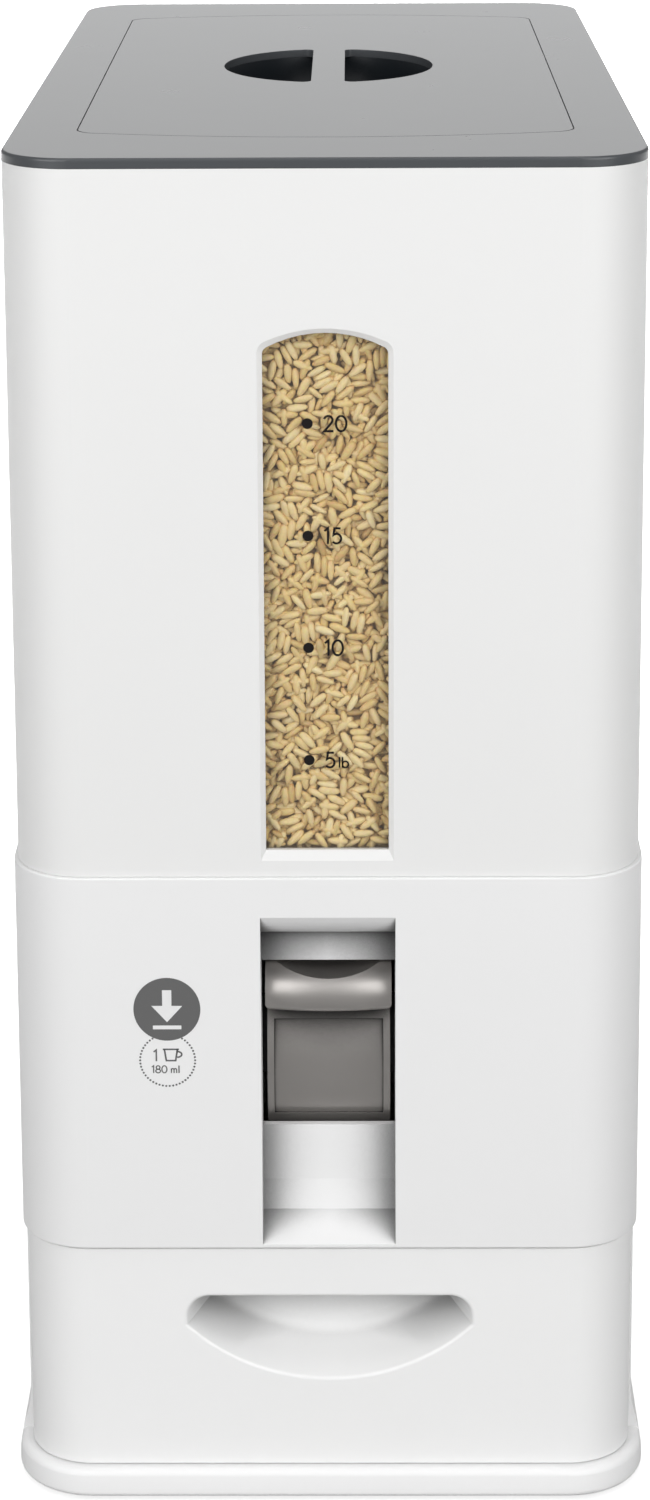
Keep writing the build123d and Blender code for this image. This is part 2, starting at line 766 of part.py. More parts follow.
# --- Measuring chamber: open above and below, held from behind by two brackets on the deck
with BuildPart() as measuring_chamber:
    with BuildSketch(Plane.XY.offset(pivot_height)):
        with Locations((0, pivot_y)):
            Rectangle(chamber_outer_width, chamber_outer_slot)
    extrude(amount=gate_radius, both=True)
    with BuildSketch(Plane.YZ):
        with Locations((pivot_y, pivot_height)):
            Circle(gate_radius)
    extrude(amount=chamber_outer_width, both=True, mode=Mode.INTERSECT)
    with BuildSketch(Plane.YZ):
        with Locations((pivot_y, pivot_height)):
            Circle(boss_radius)
    extrude(amount=rotor_inner - plate_play, both=True)
    with BuildSketch(Plane.XY.offset(pivot_height)):
        with Locations((0, pivot_y)):
            Rectangle(chamber_width, chamber_slot)
    extrude(amount=gate_radius, both=True, mode=Mode.SUBTRACT)
    with BuildSketch(Plane.YZ):
        with Locations((pivot_y, pivot_height)):
            Circle(pin_radius)
    extrude(amount=rotor_inner, both=True, mode=Mode.SUBTRACT)
    with BuildSketch(Plane.YZ.offset(bracket_spread), Plane.YZ.offset(-bracket_spread)):
        with BuildLine():
            Polyline(
                (pivot_y + chamber_outer_slot / 2, pivot_height - bracket_half),
                (bracket_front, pivot_height - bracket_half),
                (bracket_front, deck_top),
                (bracket_back, deck_top),
                (bracket_back, pivot_height + bracket_half - bracket_leg),
                (bracket_front, pivot_height + bracket_half),
                (pivot_y + chamber_outer_slot / 2, pivot_height + bracket_half),
                close=True,
            )
        make_face()
    extrude(amount=bracket_thick / 2, both=True)
    with BuildSketch(Plane.XY.offset(deck_top)):
        with GridLocations(2 * bracket_spread, 0, 2, 1):
            with Locations((0, bracket_front)):
                Rectangle(
                    bracket_foot_width,
                    bracket_leg + bracket_foot_length,
                    align=(Align.CENTER, Align.MIN),
                )
        with bracket_screw_places():
            Circle(screw_radius + screw_play, mode=Mode.SUBTRACT)
    extrude(amount=bracket_thick)
measuring_chamber.part.label = "measuring_chamber"
export_step(measuring_chamber.part, "parts/measuring_chamber.step")

with BuildPart() as chamber_screws:
    with BuildSketch(Plane.XY.offset(deck_top + bracket_thick)):
        with bracket_screw_places():
            Circle(screw_radius)
    extrude(amount=-screw_length)
    with BuildSketch(Plane.XY.offset(deck_top + bracket_thick)):
        with bracket_screw_places():
            Circle(screw_head_radius)
    extrude(amount=screw_head_thick)
chamber_screws.part.label = "chamber_screws"
export_step(chamber_screws.part, "parts/chamber_screws.step")

# --- Gate rotor: two end plates carry both gates, the front bridge and the spring arms
with BuildPart() as gate_rotor:
    with BuildSketch(Plane.YZ):
        with BuildLine():
            arc_band(gate_inner, gate_outer, upper_gate - gate_half, upper_gate + gate_half)
        make_face()
        with BuildLine():
            arc_band(gate_inner, gate_outer, lower_gate - gate_half, lower_gate + gate_half)
        make_face()
        with BuildLine():
            arc_band(gate_inner, gate_outer, bridge_low, bridge_high)
        make_face()
    extrude(amount=rotor_outer, both=True)
    with BuildSketch(Plane.YZ.offset(rotor_inner), Plane.YZ.offset(-rotor_outer)):
        with Locations((pivot_y, pivot_height)):
            Circle(hub_radius)
        with BuildLine():
            arc_band(pin_radius, gate_outer, upper_gate - gate_half, upper_gate + gate_half)
        make_face()
        with BuildLine():
            arc_band(pin_radius, gate_outer, lower_gate - gate_half, lower_gate + gate_half)
        make_face()
        with BuildLine():
            arc_band(pin_radius, gate_outer, bridge_low, bridge_high)
        make_face()
        with Locations((pivot_y, pivot_height)):
            Circle(pin_radius + pin_play, mode=Mode.SUBTRACT)
    extrude(amount=rotor_plate)
    with BuildSketch(Plane.YZ.offset(rotor_inner), Plane.YZ.offset(-rotor_inner - arm_length)):
        with Locations((arm_y, arm_z)):
            Circle(arm_rod)
    extrude(amount=arm_length)
gate_rotor.part.label = "gate_rotor"
export_step(gate_rotor.part, "parts/gate_rotor.step")

with BuildPart() as pivot_pins:
    with BuildSketch(Plane.YZ.offset(chamber_width / 2)):
        with Locations((pivot_y, pivot_height)):
            Circle(pin_radius)
    extrude(amount=rotor_outer + plate_play - chamber_width / 2)
    with BuildSketch(Plane.YZ.offset(rotor_outer + plate_play)):
        with Locations((pivot_y, pivot_height)):
            Circle(pin_head_radius)
    extrude(amount=pin_head_thick)
    mirror(about=Plane.YZ)
pivot_pins.part.label = "pivot_pins"
export_step(pivot_pins.part, "parts/pivot_pins.step")

# --- Press lever: a rolled handle with a scooped top on a curved shield with a sunk panel
with BuildPart() as press_lever:
    with BuildSketch(Plane.YZ):
        with BuildLine():
            Spline(handle_curl, handle_nose, tangents=((-1.0, 0.0), (0.0, 1.0)))
            Spline(handle_nose, handle_crest, tangents=((0.0, 1.0), (1.0, 0.5)))
            Line(handle_crest, handle_back)
            Line(handle_back, handle_root)
            Line(handle_root, handle_curl)
        make_face()
    revolve(axis=handle_axis, revolution_arc=handle_turn)
    mirror(about=Plane.YZ)
    with BuildSketch(Plane.XY.offset(pivot_height)):
        with Locations((0, handle_nose[0])):
            RectangleRounded(
                handle_span, 2 * lever_radius, handle_round, align=(Align.CENTER, Align.MIN)
            )
    extrude(amount=2 * lever_radius, mode=Mode.INTERSECT)
    with BuildSketch(Plane.XZ):
        with Locations((0, pivot_height + handle_under_up)):
            RectangleRounded(
                handle_span, 2 * lever_radius, handle_corner, align=(Align.CENTER, Align.MIN)
            )
    extrude(amount=body_depth, mode=Mode.INTERSECT)
    with BuildSketch(Plane.XZ):
        with Locations((0, handle_top - scoop_deep + scoop_radius)):
            Circle(scoop_radius)
    extrude(amount=body_depth, mode=Mode.SUBTRACT)
    with BuildSketch(Plane.YZ):
        with BuildLine():
            arc_band(lever_radius - lever_thick, lever_radius, lever_low, lever_high)
        make_face()
    extrude(amount=lever_width / 2, both=True)
    with BuildSketch(Plane.YZ):
        with BuildLine():
            arc_band(lever_radius - panel_sunk, lever_radius + panel_sunk, panel_low, panel_high)
        make_face()
    extrude(amount=lever_width / 2 - panel_border, both=True, mode=Mode.SUBTRACT)
    with BuildSketch(Plane.YZ.offset(rib_spread), Plane.YZ.offset(-rib_spread)):
        with BuildLine():
            arc_band(gate_outer, lever_radius - lever_thick / 2, bridge_low, bridge_high)
        make_face()
    extrude(amount=rib_thick / 2, both=True)
press_lever.part.label = "press_lever"
export_step(press_lever.part, "parts/press_lever.step")

# --- Return springs: two open coils standing on the deck's posts under the rotor's arms
with BuildPart() as return_springs:
    with BuildLine():
        coil = Helix(
            pitch=(spring_height - spring_wire) / spring_turns,
            height=spring_height - spring_wire,
            radius=spring_radius,
            center=(spring_x, arm_y, deck_top + spring_wire / 2),
        )
    with BuildSketch(Plane(origin=coil @ 0, z_dir=coil % 0)):
        Circle(spring_wire / 2)
    sweep(path=coil)
    mirror(about=Plane.YZ)
return_springs.part.label = "return_springs"
export_step(return_springs.part, "parts/return_springs.step")

# --- Storage bin: straight walls over a hopper floor whose four slopes meet in the outlet neck
with BuildPart() as hopper_floor:
    with BuildSketch(Plane(origin=(0, pivot_y, 0), x_dir=(0, 1, 0), z_dir=(1, 0, 0))):
        with BuildLine():
            hopper_outline(body_depth, front_slope, back_slope, neck_slot / 2, floor_thick)
        make_face()
    extrude(amount=body_width / 2, both=True)
    with BuildSketch(Plane.XZ):
        with BuildLine():
            hopper_outline(body_width, side_slope, side_slope, neck_width / 2, floor_thick)
        make_face()
    extrude(amount=body_depth / 2, both=True, mode=Mode.INTERSECT)
    with BuildSketch(Plane.XY):
        RectangleRounded(
            bin_inner_width + bin_wall, bin_inner_depth + bin_wall, bin_inner_corner + bin_wall / 2
        )
    extrude(amount=bin_top, mode=Mode.INTERSECT)

with BuildPart() as hopper_space:
    with BuildSketch(Plane(origin=(0, pivot_y, 0), x_dir=(0, 1, 0), z_dir=(1, 0, 0))):
        with BuildLine():
            hopper_outline(body_depth, front_slope, back_slope, neck_slot / 2, 0)
        make_face()
    extrude(amount=body_width / 2, both=True)
    with BuildSketch(Plane.XZ):
        with BuildLine():
            hopper_outline(body_width, side_slope, side_slope, neck_width / 2, 0)
        make_face()
    extrude(amount=body_depth / 2, both=True, mode=Mode.INTERSECT)
    with BuildSketch(Plane.XY):
        RectangleRounded(bin_inner_width, bin_inner_depth, bin_inner_corner)
    extrude(amount=top, mode=Mode.INTERSECT)

with BuildPart() as storage_bin:
    with BuildSketch(Plane.XY.offset(housing_top)):
        RectangleRounded(body_width, body_depth, body_corner)
        RectangleRounded(
            bin_inner_width, bin_inner_depth, bin_inner_corner, mode=Mode.SUBTRACT
        )
    extrude(amount=bin_height)
    fillet(storage_bin.edges().group_by(Axis.Z)[0], edge_round)
    with BuildSketch(Plane.XY.offset(nest_bottom)):
        RectangleRounded(nest_width, nest_length, nest_corner)
        RectangleRounded(
            nest_width - 2 * nest_wall,
            nest_length - 2 * nest_wall,
            nest_corner - nest_wall,
            mode=Mode.SUBTRACT,
        )
    extrude(amount=nest_depth + nest_wall)
    with BuildSketch(Plane.XY.offset(nest_bottom)):
        with corner_screw_places():
            Circle(bin_boss_radius)
    extrude(amount=bin_boss_height)
    add(hopper_floor.part)
    add(hopper_space.part, mode=Mode.SUBTRACT)
    with BuildSketch(Plane.YZ):
        with Locations((pivot_y, pivot_height)):
            Circle(gate_outer + gate_gap)
    extrude(amount=body_width / 2, both=True, mode=Mode.SUBTRACT)
    with BuildSketch(Plane.XY.offset(nest_bottom)):
        with corner_screw_places():
            Circle(screw_radius + screw_play)
    extrude(amount=screw_length, mode=Mode.SUBTRACT)
    with BuildSketch(bin_plane):
        with BuildLine():
            window_outline(window_bevel, sill_bevel, window_bevel)
        make_face()
    with BuildSketch(bin_plane.offset(-bevel_deep)):
        with BuildLine():
            window_outline(0, 0, 0)
        make_face()
    loft(ruled=True, mode=Mode.SUBTRACT)
    with BuildSketch(bin_plane):
        with BuildLine():
            window_outline(0, 0, 0)
        make_face()
    extrude(amount=-2 * bin_wall, mode=Mode.SUBTRACT)
storage_bin.part.label = "storage_bin"
export_step(storage_bin.part, "parts/storage_bin.step")

# --- Window: a clear pane stepped into the opening from inside, on a thin gasket
with BuildPart() as window_gasket:
    with BuildSketch(bin_plane.offset(-bin_wall)):
        with BuildLine():
            window_outline(pane_flange, sill_flange, pane_flange)
        make_face()
        with BuildLine():
            window_outline(gasket_inset, gasket_inset, gasket_inset)
        make_face(mode=Mode.SUBTRACT)
    extrude(amount=-gasket_thick)
window_gasket.part.label = "window_gasket"
export_step(window_gasket.part, "parts/window_gasket.step")

with BuildPart() as window_pane:
    with BuildSketch(bin_plane.offset(-bin_wall - gasket_thick)):
        with BuildLine():
            window_outline(pane_flange, sill_flange, pane_flange)
        make_face()
    extrude(amount=-pane_thick)
    with BuildSketch(bin_plane.offset(-bevel_deep)):
        with BuildLine():
            window_outline(-pane_gap, -pane_gap, -pane_gap)
        make_face()
    extrude(amount=-(bin_wall - bevel_deep + gasket_thick))
window_pane.part.label = "window_pane"
export_step(window_pane.part, "parts/window_pane.step")

# --- Top frame: a plate round the lid's rebate, with a skirt in the bin and a collar for the liner
with BuildPart() as top_frame:
    with BuildSketch(Plane.XY.offset(bin_top)):
        RectangleRounded(body_width, body_depth, body_corner)
    extrude(amount=plate_thick)
    fillet(top_frame.edges().group_by(Axis.Z)[-1], frame_round)
    with BuildSketch(Plane.XY.offset(bin_top - frame_skirt)):
        RectangleRounded(frame_width, frame_depth, frame_corner)
        RectangleRounded(
            frame_width - 2 * frame_skirt_wall,
            frame_depth - 2 * frame_skirt_wall,
            frame_corner - frame_skirt_wall,
            mode=Mode.SUBTRACT,
        )
    extrude(amount=frame_skirt)
    with BuildSketch(Plane.XY.offset(top - collar_height)) as collar_outside:
        with BuildLine():
            lid_outline(collar_wall - ledge_width)
        make_face()
        fillet(collar_outside.vertices(), lid_corner)
    extrude(amount=collar_height - plate_thick)
    with BuildSketch(Plane.XY.offset(lid_bottom - ledge_thick)) as ledge_outside:
        with BuildLine():
            lid_outline(collar_wall)
        make_face()
        fillet(ledge_outside.vertices(), lid_corner)
    extrude(amount=ledge_thick)
    with BuildSketch(Plane.XY.offset(top - collar_height)) as collar_inside:
        with BuildLine():
            lid_outline(-ledge_width)
        make_face()
        fillet(collar_inside.vertices(), lid_corner)
    extrude(amount=collar_height, mode=Mode.SUBTRACT)
    with BuildSketch(Plane.XY.offset(lid_bottom)) as rebate:
        with BuildLine():
            lid_outline(lid_gap)
        make_face()
        fillet(rebate.vertices(), lid_corner)
    extrude(amount=lid_thick, mode=Mode.SUBTRACT)
    with BuildSketch(Plane.XY.offset(bin_top - seal_drop)):
        RectangleRounded(frame_width, frame_depth, frame_corner)
        RectangleRounded(
            frame_width - 2 * seal_groove,
            frame_depth - 2 * seal_groove,
            frame_corner - seal_groove,
            mode=Mode.SUBTRACT,
        )
    extrude(amount=-seal_height, mode=Mode.SUBTRACT)
top_frame.part.label = "top_frame"
export_step(top_frame.part, "parts/top_frame.step")

with BuildPart() as top_frame_seal:
    with BuildSketch(Plane.XY.offset(bin_top - seal_drop)):
        RectangleRounded(bin_inner_width, bin_inner_depth, bin_inner_corner)
        RectangleRounded(
            frame_width - 2 * seal_groove,
            frame_depth - 2 * seal_groove,
            frame_corner - seal_groove,
            mode=Mode.SUBTRACT,
        )
    extrude(amount=-seal_height)
top_frame_seal.part.label = "top_frame_seal"
export_step(top_frame_seal.part, "parts/top_frame_seal.step")

# --- Lid: a cover with two finger holes either side of a bridge, over a liner with a pocket
with BuildPart() as lid_cover:
    with BuildSketch(Plane.XY.offset(lid_bottom)) as cover:
        with BuildLine():
            lid_outline(0)
        make_face()
        fillet(cover.vertices(), lid_corner)
    extrude(amount=lid_thick)
    with BuildSketch(Plane.XY.offset(lid_bottom)) as finger_holes:
        with Locations((0, handle_behind)):
            Ellipse(handle_width / 2, handle_length / 2)
            Rectangle(bridge_width, handle_length, mode=Mode.SUBTRACT)
        fillet(finger_holes.vertices(), hole_corner)
    extrude(amount=lid_thick, mode=Mode.SUBTRACT)
lid_cover.part.label = "lid_cover"
export_step(lid_cover.part, "parts/lid_cover.step")

with BuildPart() as lid_liner:
    with BuildSketch(Plane.XY.offset(lid_bottom)) as liner_plate:
        with BuildLine():
            lid_outline(liner_grow)
        make_face()
        fillet(liner_plate.vertices(), lid_corner)
    extrude(amount=-liner_height)
    with BuildSketch(Plane.XY.offset(lid_bottom - liner_wall)) as liner_inside:
        with BuildLine():
            lid_outline(liner_grow - liner_wall)
        make_face()
        fillet(liner_inside.vertices(), lid_corner)
    extrude(amount=-liner_height, mode=Mode.SUBTRACT)
    with BuildSketch(Plane.XY.offset(lid_bottom)):
        with Locations((0, handle_behind)):
            Ellipse(handle_width / 2 + pocket_wall, handle_length / 2 + pocket_wall)
    with BuildSketch(Plane.XY.offset(lid_bottom - pocket_depth)):
        with Locations((0, handle_behind)):
            Ellipse(
                handle_width / 2 + pocket_wall - pocket_taper,
                handle_length / 2 + pocket_wall - pocket_taper,
            )
    loft(ruled=True)
    with BuildSketch(Plane.XY.offset(lid_bottom)):
        with Locations((0, handle_behind)):
            Ellipse(handle_width / 2, handle_length / 2)
    with BuildSketch(Plane.XY.offset(lid_bottom - pocket_depth + pocket_wall)):
        with Locations((0, handle_behind)):
            Ellipse(handle_width / 2 - pocket_taper, handle_length / 2 - pocket_taper)
    loft(ruled=True, mode=Mode.SUBTRACT)
    with BuildSketch(Plane.XY.offset(lid_bottom - seal_drop)) as groove:
        with BuildLine():
            lid_outline(liner_grow + liner_wall)
        make_face()
        with BuildLine():
            lid_outline(liner_grow - seal_groove)
        make_face(mode=Mode.SUBTRACT)
        fillet(groove.vertices(), lid_corner)
    extrude(amount=-seal_height, mode=Mode.SUBTRACT)
lid_liner.part.label = "lid_liner"
export_step(lid_liner.part, "parts/lid_liner.step")

with BuildPart() as lid_seal:
    with BuildSketch(Plane.XY.offset(lid_bottom - seal_drop)) as seal_ring:
        with BuildLine():
            lid_outline(-ledge_width - lid_seal_gap)
        make_face()
        with BuildLine():
            lid_outline(liner_grow - seal_groove)
        make_face(mode=Mode.SUBTRACT)
        fillet(seal_ring.vertices(), lid_corner)
    extrude(amount=-seal_height)
lid_seal.part.label = "lid_seal"
export_step(lid_seal.part, "parts/lid_seal.step")
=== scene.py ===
# %% [markdown]
# # A rice dispenser, dressed for its portrait
# The solids of the dispenser arrive ready made, in metres, with the front towards -Y and the floor
# at Z = 0. This lesson gives each of them a finish, and adds what a moulding tool doesn't make:
# the rice behind the window, the printed scale and the small printed badge.

import json

import bpy
import numpy as np
from mathutils import Matrix, Vector

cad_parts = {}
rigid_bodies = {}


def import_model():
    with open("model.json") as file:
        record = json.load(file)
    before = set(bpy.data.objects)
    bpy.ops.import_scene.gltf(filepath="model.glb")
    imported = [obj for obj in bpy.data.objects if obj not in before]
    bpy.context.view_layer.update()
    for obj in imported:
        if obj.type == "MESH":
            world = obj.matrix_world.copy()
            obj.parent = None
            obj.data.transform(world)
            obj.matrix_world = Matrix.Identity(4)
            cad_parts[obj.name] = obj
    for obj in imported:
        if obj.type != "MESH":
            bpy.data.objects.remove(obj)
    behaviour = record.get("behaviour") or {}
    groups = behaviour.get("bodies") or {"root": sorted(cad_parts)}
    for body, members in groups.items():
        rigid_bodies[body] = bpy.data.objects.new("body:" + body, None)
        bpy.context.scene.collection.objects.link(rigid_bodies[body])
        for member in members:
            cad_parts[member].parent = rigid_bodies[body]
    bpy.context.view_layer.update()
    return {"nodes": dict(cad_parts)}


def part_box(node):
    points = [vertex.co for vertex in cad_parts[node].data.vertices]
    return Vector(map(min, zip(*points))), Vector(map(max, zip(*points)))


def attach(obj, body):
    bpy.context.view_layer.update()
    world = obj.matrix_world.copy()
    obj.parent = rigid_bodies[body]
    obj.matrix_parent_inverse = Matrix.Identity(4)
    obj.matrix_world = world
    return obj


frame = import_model()
chance = np.random.default_rng(11)
MM = 0.001

# %% [markdown]
# ## The camera
# The photo was taken from a little over a metre in front, from just above the lid. A camera can
# tilt down to frame such an object, but then its upright edges lean together. Here they hardly do,
# so the lens is shifted instead, as a product photographer does with a shift lens, and tilted only
# the rest of the way. The focal length is given in pixels of the picture's height, as it was found
# from the object's own edges.

# %% Place the camera
YAW, PITCH, ROLL = np.radians((-0.49, 12.1, -0.28))
CAMERA_PLACE = (0.009, -1.249, 0.621)
FRAME_HEIGHT_PX, FOCAL_PX, SENSOR_MM = 1500, 3468, 36.0
LENS_SHIFT = -0.28
forward = Vector(
    (np.sin(YAW) * np.cos(PITCH), np.cos(YAW) * np.cos(PITCH), -np.sin(PITCH))
)
level_right = Vector((np.cos(YAW), -np.sin(YAW), 0.0))
level_up = level_right.cross(forward)
right = level_right * np.cos(ROLL) + level_up * np.sin(ROLL)
up = right.cross(forward)
lens = bpy.data.cameras.new("portrait_camera")
lens.sensor_width = SENSOR_MM
lens.lens = FOCAL_PX / FRAME_HEIGHT_PX * SENSOR_MM
lens.shift_y = LENS_SHIFT
lens.clip_start = 0.05
camera = bpy.data.objects.new("portrait_camera", lens)
turned_frame = Matrix((right, up, -forward)).transposed().to_4x4()
camera.matrix_world = Matrix.Translation(CAMERA_PLACE) @ turned_frame
bpy.context.scene.collection.objects.link(camera)
bpy.context.scene.camera = camera
print("lens", round(lens.lens, 1), "mm")

# %% [markdown]
# ## The studio
# White plastic on a white ground is drawn by its shadows alone. Two large softboxes in front, left
# and right, their middles about twice as high as the lid, light the front evenly and let the
# rounded upright corners fall off a little. A third, high above the front, picks out every ledge
# and lip. A flag will keep the three off the floor, as in a product studio, because a bright floor
# in front would fill the lever's niche from below. A big box overhead behind whitens the ground,
# and a lower rear one is what the matt lid mirrors.


# %% Light the studio
def soft_light(name, place, target, size, power, spread=180.0):
    """A light of a size (width, height) in metres and a power in watts that faces its target."""
    data = bpy.data.lights.new(name, "AREA")
    data.shape = "RECTANGLE"
    data.size, data.size_y = size
    data.energy = power
    data.spread = np.radians(spread)
    lamp = bpy.data.objects.new(name, data)
    lamp.matrix_world = Matrix.Translation(place) @ (
        (Vector(target) - Vector(place)).to_track_quat("-Z", "Y").to_matrix().to_4x4()
    )
    lamp.visible_camera = False
    bpy.context.scene.collection.objects.link(lamp)
    return lamp


WHITE = (1.0, 1.0, 1.0, 1.0)
SKY_STRENGTH = 0.28
KEY_TARGET, KEY_SIZE, KEY_WATTS = (0.0, -0.15, 0.20), (1.25, 1.25), 16.4
sky = bpy.data.worlds.new("studio_sky")
bpy.context.scene.world = sky
sky.use_nodes = True
backdrop = sky.node_tree.nodes["Background"]
backdrop.inputs["Color"].default_value = WHITE
backdrop.inputs["Strength"].default_value = SKY_STRENGTH
key_left = soft_light("key_left", (-0.95, -1.45, 0.88), KEY_TARGET, KEY_SIZE, KEY_WATTS)
key_right = soft_light("key_right", (0.95, -1.45, 0.88), KEY_TARGET, KEY_SIZE, KEY_WATTS)
top_box = soft_light("top_box", (0.0, -0.55, 1.75), (0.0, -0.2, 0.1), (1.3, 0.55), 3.0)
soft_light("ground_light", (0.0, 2.85, 2.4), (0.0, 2.85, 0.0), (5.4, 5.2), 105.0, 40.0)
soft_light("rear_softbox", (0.0, 2.4, 0.85), (0.0, 0.0, 0.45), (1.2, 1.1), 4.1)
bpy.context.scene.view_settings.view_transform = "Standard"
print("lights:", [lamp.name for lamp in bpy.data.lights])

# %% [markdown]
# ## Meshes from arrays
# Every new piece below is a surface worked out in numpy as one array of points. One helper turns
# a grid of points into quads, and one puts points and faces into a Blender object that sits at
# the origin with its place in its mesh.


# %% Helpers that make a mesh
def grid_faces(rows, columns, wrap):
    """Quads of a rows by columns grid of points, joined round its columns when wrap is set."""
    row = np.arange(rows - 1)[:, None] * columns
    column = np.arange(columns if wrap else columns - 1)[None, :]
    after = (column + 1) % columns
    quads = (row + column, row + after, row + columns + after, row + columns + column)
    return np.stack(quads, axis=-1).reshape(-1, 4)


def add_piece(name, points, faces, body, material, smooth=True):
    """Puts points in metres and index faces into a new object, and lets it ride on a body."""
    mesh = bpy.data.meshes.new(name)
    mesh.from_pydata(np.asarray(points).tolist(), [], [list(map(int, f)) for f in faces])
    mesh.validate()
    mesh.polygons.foreach_set("use_smooth", np.full(len(mesh.polygons), smooth))
    mesh.materials.append(material)
    piece = bpy.data.objects.new(name, mesh)
    bpy.context.scene.collection.objects.link(piece)
    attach(piece, body)
    return piece


# %% [markdown]
# ## A moulded skin
# Injection moulded plastic is never one flat colour. Its tool leaves a fine even grain, which
# breaks up the gloss, and the wall's thickness and the melt's flow leave faint broad shifts in
# tone. One node group makes all of it for every plastic, and also paints shade into the hollows,
# and each plastic sets the group's sockets to its own tones, grain, gloss and painted shade. Two
# small helpers keep the node trees short to read.


# %% Helpers for nodes
def new_node(tree, kind, place, **settings):
    """A node of a kind at a place in the tree, with attributes or input values set by name."""
    node = tree.nodes.new(kind)
    node.location = place
    for key, value in settings.items():
        if hasattr(node, key):
            setattr(node, key, value)
        else:
            node.inputs[key.replace("_", " ")].default_value = value
    return node


def wire(tree, *links):
    """Links of a tree, each as a node, its output, the next node and the input that it feeds."""
    for source, output, target, entrance in links:
        tree.links.new(source.outputs[output], target.inputs[entrance])


# %% Open the skin group
skin = bpy.data.node_groups.new("moulded_skin", "ShaderNodeTree")
for title, kind, start in (
    ("Tone", "NodeSocketColor", (0.8, 0.8, 0.8, 1.0)),
    ("Deep Tone", "NodeSocketColor", (0.7, 0.7, 0.7, 1.0)),
    ("Grain Scale", "NodeSocketFloat", 2500.0),
    ("Grain Depth", "NodeSocketFloat", 0.1),
    ("Gloss Low", "NodeSocketFloat", 0.3),
    ("Gloss High", "NodeSocketFloat", 0.4),
    ("Painted Shade", "NodeSocketFloat", 0.0),
    ("Edge Radius", "NodeSocketFloat", 0.0002),
    ("Overhang", "NodeSocketFloat", 0.0),
):
    socket = skin.interface.new_socket(title, in_out="INPUT", socket_type=kind)
    socket.default_value = start
for title, kind in (
    ("Color", "NodeSocketColor"),
    ("Roughness", "NodeSocketFloat"),
    ("Normal", "NodeSocketVector"),
):
    skin.interface.new_socket(title, in_out="OUTPUT", socket_type=kind)
entry = new_node(skin, "NodeGroupInput", (-900, 0))
leave = new_node(skin, "NodeGroupOutput", (500, 0))
print("group", skin.name, "sockets", len(skin.interface.items_tree))

# %% [markdown]
# ## Tone, gloss and grain of the skin
# Three noises in the object's own coordinates do it: a broad one shifts the tone as the flow of
# the melt does, a middle one varies the gloss, and a fine one is the grain of the tool. The shading
# normal is also rounded a little at every edge, because no moulded edge is quite sharp.

# %% Wire tone, gloss and grain
where = new_node(skin, "ShaderNodeTexCoord", (-900, -300))
flow = new_node(skin, "ShaderNodeTexNoise", (-600, 250), Scale=9.0, Detail=3.0, Roughness=0.55)
grain = new_node(skin, "ShaderNodeTexNoise", (-600, -250), Detail=2.0, Roughness=0.6)
smear = new_node(skin, "ShaderNodeTexNoise", (-600, 0), Scale=40.0, Detail=4.0, Roughness=0.6)
tint = new_node(skin, "ShaderNodeMix", (0, 250), data_type="RGBA")
sheen = new_node(skin, "ShaderNodeMapRange", (0, 0))
emboss = new_node(skin, "ShaderNodeBump", (200, -250), Distance=0.00006)
soft_edge = new_node(skin, "ShaderNodeBevel", (0, -450), samples=6)
wire(
    skin,
    *((where, "Object", noise, "Vector") for noise in (flow, grain, smear)),
    (entry, "Grain Scale", grain, "Scale"),
    (flow, "Fac", tint, "Factor"),
    (entry, "Tone", tint, "A"),
    (entry, "Deep Tone", tint, "B"),
    (smear, "Fac", sheen, "Value"),
    (entry, "Gloss Low", sheen, "To Min"),
    (entry, "Gloss High", sheen, "To Max"),
    (grain, "Fac", emboss, "Height"),
    (entry, "Grain Depth", emboss, "Strength"),
    (entry, "Edge Radius", soft_edge, "Radius"),
    (soft_edge, "Normal", emboss, "Normal"),
    (sheen, "Result", leave, "Roughness"),
    (emboss, "Normal", leave, "Normal"),
)
print("links of tone, gloss and grain:", len(skin.links))

# %% [markdown]
# ## Painted shade in the hollows of the skin
# A studio's soft light leaves the hollows of an object darker than the few lamps here do. So the
# skin paints that shade into its colour: it reads how open each point is, with occlusion by the
# piece's own shape within 23 mm, and multiplies the tone by it. The mask's normal leans upwards
# by the overhang, so what counts is the sky above: the wall under an overhang is painted darker,
# and an open ledge stays light. The share of open sky is first stretched, so that a flat face is
# left clear of the noise of the samples, and then raised to the power of the painted shade
# socket. A painted shade of 0 leaves the tone alone.

# %% Wire the painted shade in the hollows
HOLLOW_REACH = 0.023
OPEN_SHARE = 0.75
facing = new_node(skin, "ShaderNodeNewGeometry", (-600, 500))
upward = new_node(skin, "ShaderNodeCombineXYZ", (-600, 700))
lifted = new_node(skin, "ShaderNodeVectorMath", (-400, 500), operation="ADD")
skyward = new_node(skin, "ShaderNodeVectorMath", (-200, 500), operation="NORMALIZE")
# Painted shade: this occlusion mask darkens the tone in hollows and under overhangs.
hollow = new_node(
    skin,
    "ShaderNodeAmbientOcclusion",
    (0, 500),
    samples=12,
    only_local=True,
    Distance=HOLLOW_REACH,
)
open_sky = new_node(skin, "ShaderNodeMapRange", (100, 500), From_Max=OPEN_SHARE)
deepen = new_node(skin, "ShaderNodeMath", (200, 500), operation="POWER")
# The painted shade multiplies the tone here.
shade = new_node(
    skin, "ShaderNodeMix", (350, 250), data_type="RGBA", blend_type="MULTIPLY", Factor=1.0
)
wire(
    skin,
    (entry, "Overhang", upward, "Z"),
    (facing, "Normal", lifted, 0),
    (upward, "Vector", lifted, 1),
    (lifted, "Vector", skyward, 0),
    (skyward, "Vector", hollow, "Normal"),
    (hollow, "AO", open_sky, "Value"),
    (open_sky, "Result", deepen, 0),
    (entry, "Painted Shade", deepen, 1),
    (tint, "Result", shade, "A"),
    (deepen, "Value", shade, "B"),
    (shade, "Result", leave, "Color"),
)
print("nodes of the skin:", len(skin.nodes))

# %% [markdown]
# ## A plastic from the skin
# Each plastic is one shader that takes its colour, roughness and normal from the group. Whatever
# else it needs, such as metal flakes or a clear body, is set on the shader's own sockets.


